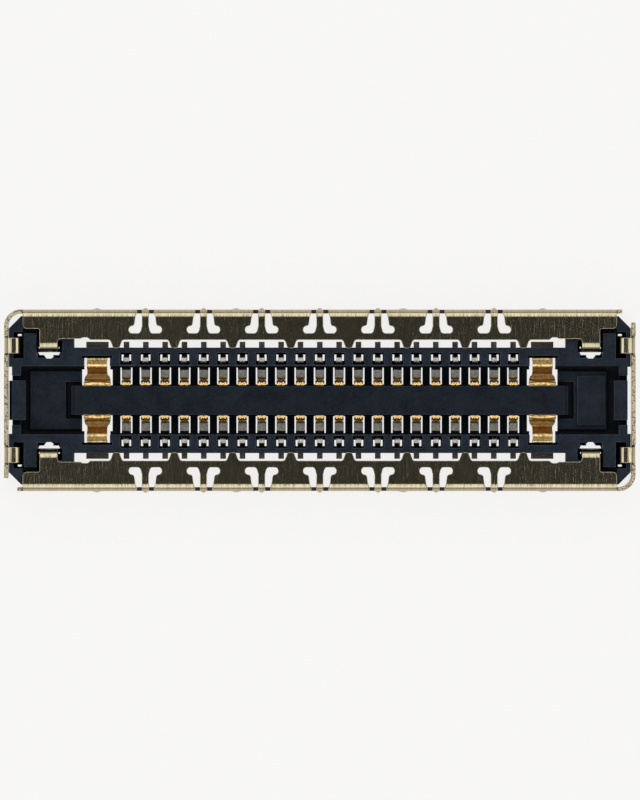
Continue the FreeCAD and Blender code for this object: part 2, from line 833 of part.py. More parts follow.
def shell_fingers(half):
    """The spring fingers: slots through the bend, a free lower end and a bump on the outside."""
    outer = mm.shell_half_width + CUT_MARGIN
    finger_half = mm.finger_width / 2
    root_half = mm.finger_root_width / 2
    slot_half = mm.finger_slot_width / 2
    foot_half = mm.finger_foot_width / 2
    foot_cut = mm.finger_foot_cut
    x = first_finger
    slots = []
    for way in (1, -1):
        slots.append(
            [
                (x + finger_half * way, outer),
                (x + slot_half * way, outer),
                (x + slot_half * way, slot_foot),
                (x + foot_half * way, slot_foot),
                (x + foot_half * way, slot_root + foot_cut),
                (x + (foot_half - foot_cut) * way, slot_root),
                (x + root_half * way, slot_root),
                (x + finger_half * way, slot_foot),
            ]
        )
    slot_plan = outlines(half, "finger_slot_plan", "XY_Plane", mm.shell_height, slots)
    slot_cut = pocket(half, "finger_slot", slot_plan, mm.shell_height - mm.window_sill)
    end_half = finger_half + mm.fit_gap
    end = rectangle(x - end_half, x + end_half, mm.window_sill, mm.finger_end)
    end_plan = outlines(half, "finger_end_plan", "XZ_Plane", -outer, [end])
    end_cut = pocket(half, "finger_end", end_plan, mm.sheet + CUT_MARGIN * 2, "backward")
    gap_half = mm.foot_gap_width / 2
    foot_gap = rectangle(x - gap_half, x + gap_half, -CUT_MARGIN, mm.foot_gap_height)
    gap_plan = outlines(half, "foot_gap_plan", "XZ_Plane", -outer, [foot_gap])
    gap_cut = pocket(half, "foot_gap", gap_plan, mm.sheet + CUT_MARGIN * 2, "backward")
    repeat_along_x(
        half, "finger_slots", [slot_cut, end_cut, gap_cut], finger_step, finger_count, False
    )
    bump = bump_section(half, "finger_bump_section", mm.bump_level, mm.bump_stand, first_finger)
    bump_pad = pad(half, "finger_bump", bump, mm.finger_width, "symmetric")
    repeat_along_x(half, "finger_bumps", [bump_pad], finger_step, finger_count, True)


def shell_dimples(half):
    """Shallow bumps on the long wall that lock the mating shell."""
    dimples = []
    for number, place in enumerate((mm.dimple_inner, mm.dimple_outer)):
        section = bump_section(half, f"dimple_section_{number}", mm.bump_level, mm.dimple_stand, place)
        dimples.append(pad(half, f"dimple_{number}", section, mm.dimple_width, "symmetric"))
    mirror(half, "dimples", dimples, "YZ_Plane", True)


def bump_section(half, name, level, stand, place):
    """The section of a bump that stands out from the long wall."""
    wall = mm.shell_half_width
    low = level - mm.bump_height / 2
    high = level + mm.bump_height / 2
    rise = stand * 2
    corners = [
        (wall - mm.sheet / 2, low),
        (wall, low),
        (wall + stand, low + rise),
        (wall + stand, high - rise),
        (wall, high),
        (wall - mm.sheet / 2, high),
    ]
    return outlines(half, name, "YZ_Plane", place, [corners])


def shell_tabs(half):
    """The tabs that bend down from the flange and those that hook over the housing's end."""
    top = mm.shell_height
    facet = mm.sheet * BEND_FACET
    tab_start = shoulder_edge + mm.shoulder_notch_depth
    flange_tab = [
        (tab_start, top),
        *bend_facet(flange_tab_face, top, OUTWARD, DOWNWARD, facet),
        (flange_tab_face, mm.flange_tab_end),
        (flange_tab_face + mm.sheet, mm.flange_tab_end),
        (flange_tab_face + mm.sheet, top - mm.sheet),
        (tab_start, top - mm.sheet),
    ]
    section = outlines(half, "flange_tab_section", "YZ_Plane", flange_tab_x, [flange_tab])
    tab = pad(half, "flange_tab", section, mm.flange_tab_width, "symmetric")
    mirror(half, "flange_tabs", [tab], "YZ_Plane", True)

    seat_level = top - mm.relief_depth - CUT_MARGIN
    hook_face = -shell_end + mm.end_tab_reach
    hook = [
        (-shell_end, seat_level),
        *bend_facet(-shell_end, top, DOWNWARD, OUTWARD, facet),
        *bend_facet(hook_face, top, INWARD, DOWNWARD, facet),
        (hook_face, mm.end_tab_end),
        (hook_face - mm.sheet, mm.end_tab_end),
        (hook_face - mm.sheet, top - mm.sheet),
        (-shell_end + mm.sheet, top - mm.sheet),
        (-shell_end + mm.sheet, seat_level),
    ]
    tab_half = mm.end_tab_width / 2
    seat = rectangle(
        -shell_end - CUT_MARGIN,
        -shell_end + mm.sheet + CUT_MARGIN,
        mm.end_tab_offset - tab_half - mm.relief_width,
        mm.end_tab_offset + tab_half + mm.relief_width,
    )
    seat_plan = outlines(half, "end_relief_plan", "XY_Plane", top, both_rows(seat))
    pocket(half, "end_reliefs", seat_plan, mm.relief_depth + mm.seat_gap)
    hook_section = outlines(half, "end_hook_section", "XZ_Plane", -mm.end_tab_offset, [hook])
    hook_pad = pad(half, "end_hook", hook_section, mm.end_tab_width, "symmetric")
    mirror(half, "end_hooks", [hook_pad], "XZ_Plane", True)


def build_shell_half(label, turned):
    """One stamped half of the shell; the other half is the same piece turned half a turn."""
    half = new_body(label)
    shell_walls(half)
    shell_flange(half)
    shell_dimples(half)
    shell_tabs(half)
    shell_windows(half)
    shell_fingers(half)
    half.Placement.Rotation = FreeCAD.Rotation(FreeCAD.Vector(0, 0, 1), 180 if turned else 0)
    return half


def trim_width(body, name, outline, top):
    """Cuts a formed strip back to its plan outline on both sides."""
    plan = outlines(body, f"{name}_plan", "XY_Plane", top, [outline, flip_x(outline)])
    pocket(body, name, plan)


def build_signal_contact(label, column, turned):
    """A signal contact: tail, leg, crest, beam and spring arm with a ribbed head.

    The bends of the contacts and tabs are so small and so many that each has a sharp inner corner,
    and one flat facet on its outer side where that side shows.
    """
    contact = new_body(label)
    metal = mm.signal_sheet
    facet = metal * BEND_FACET
    beam_top = mm.beam_level + metal
    head = arm_root - mm.arm_lean
    top = mm.crest_height
    arm_top = mm.arm_height
    face = [
        (tail_end, metal),
        (leg_face, metal),
        *bend_facet(leg_face, top, DOWNWARD, INWARD, facet),
        *bend_facet(crest_inner, top, OUTWARD, DOWNWARD, facet),
        (crest_inner, beam_top),
        (arm_root, beam_top),
        *bend_facet(head, arm_top, DOWNWARD, INWARD, facet),
        (arm_tip, arm_top),
    ]
    back = [
        (arm_tip, arm_top - metal),
        (head - metal, arm_top - metal),
        (arm_root - metal, mm.beam_level),
        (crest_inner + metal, mm.beam_level),
        (crest_inner + metal, top - metal),
        (leg_face - metal, top - metal),
        (leg_face - metal, ZERO),
        (tail_end, ZERO),
    ]
    section = outlines(contact, "strip_section", "YZ_Plane", ZERO, [face + back])
    pad(contact, "strip", section, mm.beam_width, "symmetric")
    beam_half = mm.beam_width / 2 + CUT_MARGIN
    leg_half = mm.crest_width / 2
    slot_outer = mm.cavity_half_width
    trim_width(
        contact,
        "strip_sides",
        [
            (beam_half, tail_end + CUT_MARGIN),
            (leg_half, tail_end + CUT_MARGIN),
            (leg_half, slot_outer - mm.fit_gap),
            (mm.beam_width / 2, slot_outer - mm.fit_gap * 3),
            (beam_half, slot_outer - mm.fit_gap * 3),
        ],
        mm.crest_height + CUT_MARGIN,
    )
    groove = [
        (-(mm.rib_groove_width / 2), head + CUT_MARGIN),
        (-(mm.rib_groove_width / 2), head),
        (ZERO, head - mm.rib_groove_depth),
        (mm.rib_groove_width / 2, head),
        (mm.rib_groove_width / 2, head + CUT_MARGIN),
    ]
    groove_plan = outlines(contact, "rib_groove_plan", "XY_Plane", mm.arm_height, [groove])
    pocket(contact, "rib_groove", groove_plan, mm.rib_groove_length)
    place_in_row(contact, mm.pitch * column - signal_reach, turned)
    return contact


def build_power_contact(label, side, turned):
    """A power contact: a wide strip over the wall whose head flares beside the island."""
    contact = new_body(label)
    metal = mm.power_sheet
    leg = leg_face - mm.power_leg_inset
    crest_end = leg - mm.power_crest_width
    floor_top = mm.power_level + metal
    root = mm.island_half_width + mm.power_arm_root_gap
    head = root - mm.power_arm_lean
    neck = crest_end - mm.power_slope
    top = mm.power_crest_height
    facet = metal * BEND_FACET
    falling = (-mm.power_slope / (top - floor_top), -1)
    rising = (mm.power_slope / (top - floor_top), 1)
    face = [
        (tail_end, metal),
        (leg, metal),
        *bend_facet(leg, top, DOWNWARD, INWARD, facet),
        *bend_facet(crest_end, top, OUTWARD, falling, facet),
        (neck, floor_top),
        (root, floor_top),
        (head, mm.power_arm_height),
    ]
    back = [
        (head - metal, mm.power_arm_height),
        *bend_facet(root - metal, mm.power_level, UPWARD, OUTWARD, facet),
        *bend_facet(neck + metal, mm.power_level, INWARD, rising, facet),
        (crest_end + metal, top - metal),
        (leg - metal, top - metal),
        (leg - metal, ZERO),
        (tail_end, ZERO),
    ]
    section = outlines(contact, "strip_section", "YZ_Plane", ZERO, [face + back])
    pad(contact, "strip", section, mm.power_flare_width, "symmetric")
    flare_half = mm.power_flare_width / 2
    tail_half = mm.power_tail_width / 2
    half = mm.power_width / 2
    trim_width(
        contact,
        "strip_sides",
        [
            (flare_half + CUT_MARGIN, tail_end + CUT_MARGIN),
            (tail_half, tail_end + CUT_MARGIN),
            (tail_half, leg + mm.fit_gap / 2),
            (half, leg + mm.fit_gap / 2),
            (half, neck - mm.power_flare_start),
            (flare_half, root + mm.power_flare_start),
            (flare_half + CUT_MARGIN, root + mm.power_flare_start),
        ],
        top + CUT_MARGIN,
    )
    place_in_row(contact, power_x * side, turned)
    return contact


def place_in_row(contact, x, turned):
    """Moves a contact to its column; the front row's contacts are turned half a turn."""
    contact.Placement.Rotation = FreeCAD.Rotation(FreeCAD.Vector(0, 0, 1), 180 if turned else 0)
    contact.setExpression("Placement.Base.x", x.text)


def build_all():
    """Every piece of the connector, each a body of its own."""
    pieces = [build_housing()]
    pieces.append(build_shell_half("shell_half_rear_left", False))
    pieces.append(build_shell_half("shell_half_front_right", True))
    for row_name, turned in (("rear", False), ("front", True)):
        for column in range(int(mm.columns.value)):
            label = f"signal_contact_{row_name}_{column + 1:02d}"
            pieces.append(build_signal_contact(label, column, turned))
        for side_name, side in (("left", -1), ("right", 1)):
            label = f"power_contact_{row_name}_{side_name}"
            pieces.append(build_power_contact(label, side, turned))
    return pieces


pieces = build_all()
doc.recompute()
for thing in doc.Objects:
    if "Invalid" in thing.State or "Error" in thing.State:
        raise RuntimeError(f"{thing.Label} failed: {thing.State}")
for piece in pieces:
    if piece.Shape.isNull() or not piece.Shape.isValid() or len(piece.Shape.Solids) != 1:
        raise RuntimeError(f"{piece.Label} has no single valid solid")
os.makedirs("parts", exist_ok=True)
for piece in pieces:
    piece.Shape.exportStep(os.path.join("parts", f"{piece.Label}.step"))
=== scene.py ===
"""Looks of a shielded board-to-flex receptacle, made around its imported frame."""

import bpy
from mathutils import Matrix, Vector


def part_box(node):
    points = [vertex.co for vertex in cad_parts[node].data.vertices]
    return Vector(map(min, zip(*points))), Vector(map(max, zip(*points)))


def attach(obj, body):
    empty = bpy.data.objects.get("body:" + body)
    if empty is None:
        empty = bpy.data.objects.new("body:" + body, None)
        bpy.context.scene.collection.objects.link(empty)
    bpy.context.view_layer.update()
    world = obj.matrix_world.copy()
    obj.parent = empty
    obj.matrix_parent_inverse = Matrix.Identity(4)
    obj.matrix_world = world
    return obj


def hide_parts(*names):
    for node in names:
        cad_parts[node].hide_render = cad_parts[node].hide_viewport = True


bl_info = {
    "name": "Shielded Board Connector",
    "version": (1, 0, 0),
    "blender": (4, 5, 0),
    "location": "View3D > Sidebar > Connector",
    "description": "Makes the shell, moulding, contacts and stage of a shielded receptacle",
    "category": "Object",
}

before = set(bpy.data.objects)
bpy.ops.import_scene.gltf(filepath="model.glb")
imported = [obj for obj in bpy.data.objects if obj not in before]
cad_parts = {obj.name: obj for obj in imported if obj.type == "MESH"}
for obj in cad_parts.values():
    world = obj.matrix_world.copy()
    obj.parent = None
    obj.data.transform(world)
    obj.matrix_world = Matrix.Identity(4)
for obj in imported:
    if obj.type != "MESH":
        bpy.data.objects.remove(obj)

import math

import bmesh
import bpy
from bpy.props import FloatProperty, FloatVectorProperty, IntProperty, PointerProperty
from mathutils import Matrix, Vector

# Drafts are made in millimetres and scaled to metres when they are finished.
MM = 0.001
BODY = "root"
SIGNAL_NODES = sorted(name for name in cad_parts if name.startswith("signal_contact"))
POWER_NODES = sorted(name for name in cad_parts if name.startswith("power_contact"))
SHELL_NODES = ("shell_half_rear_left", "shell_half_front_right")


def node_box(name):
    """The lowest and highest corner of a node, in millimetres."""
    low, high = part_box(name)
    return low / MM, high / MM


SHELL_LOW, SHELL_HIGH = node_box(SHELL_NODES[0])
SIGNAL_LOW, SIGNAL_HIGH = node_box("signal_contact_rear_01")
NEXT_LOW = node_box("signal_contact_rear_02")[0]
POWER_LOW, POWER_HIGH = node_box("power_contact_rear_right")

# what the frame gives, in millimetres
PITCH = NEXT_LOW.x - SIGNAL_LOW.x
COLUMNS = len(SIGNAL_NODES) // 2
POWER_X = (POWER_LOW.x + POWER_HIGH.x) / 2
GROUP = 3
FINGER_STEP = GROUP * PITCH
FINGER_COUNT = COLUMNS // GROUP
SHELL_END = -SHELL_LOW.x
SHELL_TOP = SHELL_HIGH.z

# small forms of the shell, in millimetres
BUMP_STAND = 0.03
BUMP_LEVEL = 0.40
BUMP_HEIGHT = 0.16
BUMP_WIDTH = 0.106
BUMP_COLUMNS = 10
BUMP_ROWS = 8
DIMPLE_STAND = 0.024
DIMPLE_WIDTH = 0.24
DIMPLES = (1.51, 4.03)
SHELL_SIDE = SHELL_HIGH.y - BUMP_STAND
SEAT_GAP = 0.01
WALL_TOP = SHELL_TOP - SEAT_GAP
FLANGE_END = SHELL_END - 0.336
FLANGE_SLIT = 0.02
FLANGE_SLIT_FLOOR = 0.49
FLANGE_CORNER_DEPTH = 0.347
FLANGE_CORNER_ROUND = 0.08
INSIDE_ROUND = 0.055
SMALL_ROUND = 0.03
WINDOW_DEPTH = 0.55
SHOULDER_DEPTH = 0.53
SHOULDER_NOTCH_DEPTH = 0.508
SHOULDER_NOTCH_SLOPE = 0.05
SHOULDER_NOTCH_X = POWER_X + 0.21
SHOULDER_NOTCH_HALF = 0.09
POINT_DEPTH = 0.70
POINT_ROOT_HALF = 0.11
POINT_TIP_HALF = 0.056
POINT_ROUND = 0.05
SLOT_FOOT_DEPTH = 0.302
SLOT_ROOT_DEPTH = 0.427
SLOT_HALF = 0.2
SLOT_TOP_HALF = 0.15
SLOT_FOOT_HALF = 0.296
FINGER_HALF = 0.063
FINGER_ROOT_HALF = 0.095
FINGER_END = 0.24
WINDOW_SILL = 0.18
FOOT_GAP_HALF = 0.25
FOOT_GAP_HEIGHT = 0.05
FLANGE_TAB_X = POWER_X + 0.8725
FLANGE_TAB_HALF = 0.1625
FLANGE_TAB_DEPTH = 0.755
FLANGE_TAB_END = 0.24
FLANGE_TAB_RADIUS = 0.18
END_TAB_Y = 0.988
END_TAB_HALF = 0.141
END_TAB_REACH = 0.29
END_TAB_END = 0.26
END_TAB_OUTER_RADIUS = 0.155
END_TAB_INNER_RADIUS = 0.10
RELIEF_WIDTH = 0.035
RELIEF_LEVEL = 0.49

# corners of the signal contact along Y and Z, in millimetres
SIGNAL_LEG = 0.775
SIGNAL_CREST = 0.68
SIGNAL_ARM = 0.394
SIGNAL_HEAD = 0.364
SIGNAL_TIP = 0.268
SIGNAL_BEAM_LEVEL = 0.09
SIGNAL_HEAD_LEVEL = 0.46
SIGNAL_TIP_DROP = 0.02
RIB_ROOT = 0.40
RIB_START = 0.14
RIB_HEIGHT = 0.022
RIB_PLACE = 0.5
RIB_WIDTH = 0.9

# corners of the power contact along Y and Z, in millimetres
POWER_LEG = 0.768
POWER_CREST = 0.60
POWER_FALL = 0.49
POWER_ARM = 0.368
POWER_HEAD = 0.340
POWER_TIP = 0.272
POWER_FLOOR_LEVEL = 0.11
POWER_HEAD_LEVEL = 0.45
POWER_TIP_DROP = 0.01
POWER_FLARE = (POWER_HIGH.x - POWER_LOW.x) / 2
CROWN_ROOT = 0.38
CROWN_START = 0.15
CROWN_DEPTH = 0.020

# ribs and crown grow to their full depth over this height
HEAD_RISE = 0.1

# the strips' half widths, each with its place along Y, and the places where a strip is divided
SIGNAL_WIDTHS = ((0.61, 0.052), (0.59, 0.0825))
SIGNAL_CUTS = (0.61, 0.59, 0.5)
POWER_WIDTHS = (
    (0.79, 0.204), (0.78, 0.1815), (0.49, 0.1815), (0.46, 0.19), (0.43, 0.222), (0.36, POWER_FLARE)
)
POWER_CUTS = (0.49, 0.46, 0.445, 0.43)

# meshing; the shortest rounded edge is given in widths of its round
SIGNAL_ACROSS = 11
POWER_ACROSS = 13
ARC_STEP = math.radians(11)
OUTLINE_STEP = 1.5 * ARC_STEP
FOLD_STEP = math.radians(5)
STEEPEST_CUT = math.cos(math.radians(60))
SHORTEST_ROUNDED = 4
MERGE_DISTANCE = 1e-4
CUT_TOLERANCE = 1e-5
FLAT_ANGLE = math.radians(0.3)
EDGE_ANGLE = math.radians(35)
RIM_ANGLE = math.radians(60)


def length_setting(name, description, value):
    """A length that a user may set, with its default in millimetres."""
    return FloatProperty(
        name=name, description=description, default=value * MM,
        subtype="DISTANCE", unit="LENGTH", precision=6,
    )


def colour_setting(name, description, value):
    """A colour that a user may set."""
    return FloatVectorProperty(
        name=name, description=description, default=value, subtype="COLOR", min=0, max=1
    )


class ShellSettings(bpy.types.PropertyGroup):
    """Sizes and finish of the stamped shell."""

    sheet: length_setting("Sheet", "Thickness of the sheet", 0.07)
    bend_radius: length_setting("Long bend", "Outer radius of the bend into the flange", 0.15)
    corner_radius: length_setting("Corner", "Outer radius of the round corner", 0.30)
    edge_round: length_setting("Edge round", "Rounding of the cut edges", 0.009)
    plating: colour_setting("Plating", "Colour of the plated sheet", (0.44, 0.385, 0.255))
    sheared: colour_setting("Sheared edge", "Colour of the cut edges", (0.62, 0.53, 0.36))


class MouldingSettings(bpy.types.PropertyGroup):
    """Sizes and finish of the moulded housing."""

    edge_round: length_setting("Edge round", "Rounding of the moulded edges", 0.006)
    resin: colour_setting("Resin", "Colour of the black resin", (0.0130, 0.0179, 0.0262))
    # painted highlight: the rounded edges take this lighter resin colour, which stands in for the
    # light they catch
    resin_edge_highlight: colour_setting("Resin edge highlight", "Colour of the resin's edges", (0.050, 0.060, 0.076))


class ContactSettings(bpy.types.PropertyGroup):
    """Sizes and finish of the signal and power contacts."""

    columns: IntProperty(
        name="Columns", description="Signal contacts in a row", default=COLUMNS, min=1
    )
    pitch: length_setting("Pitch", "From one signal contact to the next", PITCH)
    signal_strip: length_setting("Signal strip", "Thickness of the signal strip", 0.045)
    power_strip: length_setting("Power strip", "Thickness of the power strip", 0.06)
    edge_round: length_setting("Edge round", "Rounding of the strips' edges", 0.005)
    nickel: colour_setting("Nickel", "Colour of the signal strip", (0.53, 0.515, 0.47))
    gold: colour_setting("Gold", "Colour of the gilded faces", (0.88, 0.585, 0.24))


class StageSettings(bpy.types.PropertyGroup):
    """Camera, lamps and floor."""

    camera_distance: length_setting("Camera distance", "From the board to the camera", 200)
    view_width: length_setting("View width", "Width of the picture at the shell's top", 11.552)
    lamp_radiance: FloatProperty(
        name="Lamp radiance", description="Radiance of each soft lamp", default=1.37, min=0
    )
    floor: colour_setting("Floor", "Colour of the pale floor", (0.93, 0.925, 0.915))


class BentPath:
    """A line of straight runs and round bends in a plane, measured by the distance along it."""

    def __init__(self, corners, arc_step=ARC_STEP):
        self.parts = []
        self.arc_step = arc_step
        self.length = 0.0
        here = Vector(corners[0][:2])
        for before, corner, after in zip(corners, corners[1:], corners[2:]):
            middle = Vector(corner[:2])
            ahead = (middle - Vector(before[:2])).normalized()
            leave = (Vector(after[:2]) - middle).normalized()
            turn = math.atan2(ahead.cross(leave), ahead.dot(leave))
            radius = corner[2] if len(corner) > 2 else 0.0
            trim = radius * math.tan(abs(turn) / 2)
            self.add_part(here, ahead, (middle - ahead * trim - here).length, 0.0)
            if radius:
                curve = math.copysign(1 / radius, turn)
                self.add_part(middle - ahead * trim, ahead, radius * abs(turn), curve)
            here = middle + leave * trim
        end = Vector(corners[-1][:2])
        self.add_part(here, (end - here).normalized(), (end - here).length, 0.0)

    def add_part(self, point, heading, length, curve):
        """Adds a run or a bend that starts at a point."""
        angle = math.atan2(heading.y, heading.x)
        self.parts.append((self.length, length, point.copy(), angle, curve))
        self.length += length

    def at(self, distance):
        """The point and the heading angle at a distance."""
        part = self.parts[0]
        for candidate in self.parts:
            if distance >= candidate[0]:
                part = candidate
        start, length, point, angle, curve = part
        along = distance - start
        if not curve:
            return point + Vector((math.cos(angle), math.sin(angle))) * along, angle
        now = angle + curve * along
        shift = Vector((math.sin(now) - math.sin(angle), math.cos(angle) - math.cos(now)))
        return point + shift / curve, now

    def mitre(self, distance, thickness):
        """The place at a depth on the left of the line, held at the corner of a tighter bend."""
        for start, length, point, angle, curve in self.parts:
            tight = curve * thickness > 1
            if tight and start - CUT_TOLERANCE < distance < start + length + CUT_TOLERANCE:
                ahead = Vector((math.cos(angle), math.sin(angle)))
                left = Vector((-ahead.y, ahead.x))
                reach = (1 / curve - thickness) * math.tan(length * curve / 2)
                return point + ahead * reach + left * thickness
        point, heading = self.at(distance)
        return point + Vector((-math.sin(heading), math.cos(heading))) * thickness

    def bend_stops(self):
        """The distances at which the bends are divided, with their starts and ends."""
        stops = []
        for start, length, point, angle, curve in self.parts:
            if curve:
                steps = max(2, math.ceil(length * abs(curve) / self.arc_step))
                stops.extend(start + length * i / steps for i in range(steps + 1))
        return stops

    def stops(self, breaks=()):
        """All the distances that a mesh along the path needs.

        Straight runs are also divided where they cross one of the breaks, places on the first axis.
        """
        found = {0.0, self.length, *self.bend_stops()}
        for start, length, point, angle, curve in self.parts:
            slope = math.cos(angle)
            if curve or abs(slope) < STEEPEST_CUT:
                continue
            for place in breaks:
                along = (place - point.x) / slope
                if 0 < along < length:
                    found.add(start + along)
        ordered = sorted(found)
        kept = [ordered[0]]
        kept.extend(here for last, here in zip(ordered, ordered[1:]) if here - last > CUT_TOLERANCE)
        return kept


def rounded(corners):
    """Points of a closed outline; a corner with a third value is an arc of that radius."""
    points = []
    for i, corner in enumerate(corners):
        here = Vector(corner[:2])
        if len(corner) == 2:
            points.append(here)
            continue
        back = (Vector(corners[i - 1][:2]) - here).normalized()
        ahead = (Vector(corners[(i + 1) % len(corners)][:2]) - here).normalized()
        half = back.angle(ahead) / 2
        centre = here + (back + ahead).normalized() * (corner[2] / math.sin(half))
        start = here + back * (corner[2] / math.tan(half)) - centre
        turn = math.copysign(math.pi - 2 * half, -back.cross(ahead))
        steps = max(2, math.ceil(abs(turn) / OUTLINE_STEP))
        points.extend(
            centre + Matrix.Rotation(turn * step / steps, 2) @ start for step in range(steps + 1)
        )
    return points


def spaced(count, step):
    """Evenly spaced places about the middle."""
    return [(i - (count - 1) / 2) * step for i in range(count)]


def swell(offset, width):
    """A smooth hump, 1 in the middle of its width and 0 outside it."""
    if abs(offset) >= width / 2:
        return 0.0
    return math.cos(math.pi * offset / width) ** 2


def new_object(name, mesh):
    """Links a new object to the scene."""
    piece = bpy.data.objects.new(name, mesh)
    bpy.context.scene.collection.objects.link(piece)
    return piece


def form_mesh(form, name):
    """The smooth mesh of a form, which is given up."""
    for face in form.faces:
        face.smooth = True
    mesh = bpy.data.meshes.new(name)
    form.to_mesh(mesh)
    form.free()
    return mesh


def merge_flat_faces(form, kept):
    """Joins faces that lie in one plane, but for the edges of a kept kind."""
    bmesh.ops.dissolve_limit(
        form,
        angle_limit=FLAT_ANGLE,
        use_dissolve_boundaries=False,
        verts=form.verts[:],
        edges=form.edges[:],
        delimit=kept,
    )


def baked_mesh(draft, name):
    """The mesh that a draft's modifiers leave."""
    depsgraph = bpy.context.evaluated_depsgraph_get()
    mesh = bpy.data.meshes.new_from_object(
        draft.evaluated_get(depsgraph), preserve_all_data_layers=True, depsgraph=depsgraph
    )
    mesh.name = name
    return mesh


def finish_piece(draft, name, nodes, turned=False):
    """Makes a draft in millimetres a plain mesh in metres that stands for its nodes."""
    mesh = baked_mesh(draft, name)
    mesh.transform(Matrix.Scale(MM, 4))
    if turned:
        mesh.transform(Matrix.Rotation(math.pi, 4, "Z"))
    piece = new_object(name, mesh)
    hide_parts(*nodes)
    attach(piece, BODY)


def add_edge_round(draft, width, by_weight=False):
    """Rounds a draft's edges."""
    bevel = draft.modifiers.new("Edge round", "BEVEL")
    bevel.width = width
    bevel.segments = 2
    bevel.limit_method = "WEIGHT" if by_weight else "ANGLE"
    bevel.angle_limit = RIM_ANGLE
    bevel.use_clamp_overlap = False
    bevel.miter_outer = "MITER_SHARP"
    if by_weight:
        # a draft rounded by weight gives its rounded edges the second material, a lighter resin that
        # paints a highlight on them
        bevel.material = 1


def add_even_normals(draft):
    """Weights a draft's normals by the size of its faces."""
    weighted = draft.modifiers.new("Weighted normals", "WEIGHTED_NORMAL")
    weighted.keep_sharp = False


def filled(loops):
    """A flat mesh inside the first outline, with the other outlines as holes."""
    flat = bmesh.new()
    for loop in loops:
        verts = [flat.verts.new((point.x, point.y, 0)) for point in loop]
        for first, second in zip(verts, verts[1:] + verts[:1]):
            flat.edges.new((first, second))
    bmesh.ops.triangle_fill(flat, use_beauty=True, edges=flat.edges[:], normal=(0, 0, 1))
    for face in flat.faces:
        if face.normal.z < 0:
            face.normal_flip()
    return flat


def score(flat, axis, places, low, high):
    """Cuts a flat sheet along lines across an axis, kept where they lie between two corners."""
    normal = Vector((1, 0, 0)) if axis == 0 else Vector((0, 1, 0))
    for place in places:
        geometry = flat.verts[:] + flat.edges[:] + flat.faces[:]
        cut = bmesh.ops.bisect_plane(
            flat, geom=geometry, dist=CUT_TOLERANCE, plane_co=normal * place, plane_no=normal
        )
        for item in cut["geom_cut"]:
            if isinstance(item, bmesh.types.BMEdge):
                middle = (item.verts[0].co + item.verts[1].co) / 2
                if low[0] <= middle.x <= high[0] and low[1] <= middle.y <= high[1]:
                    item.seam = True


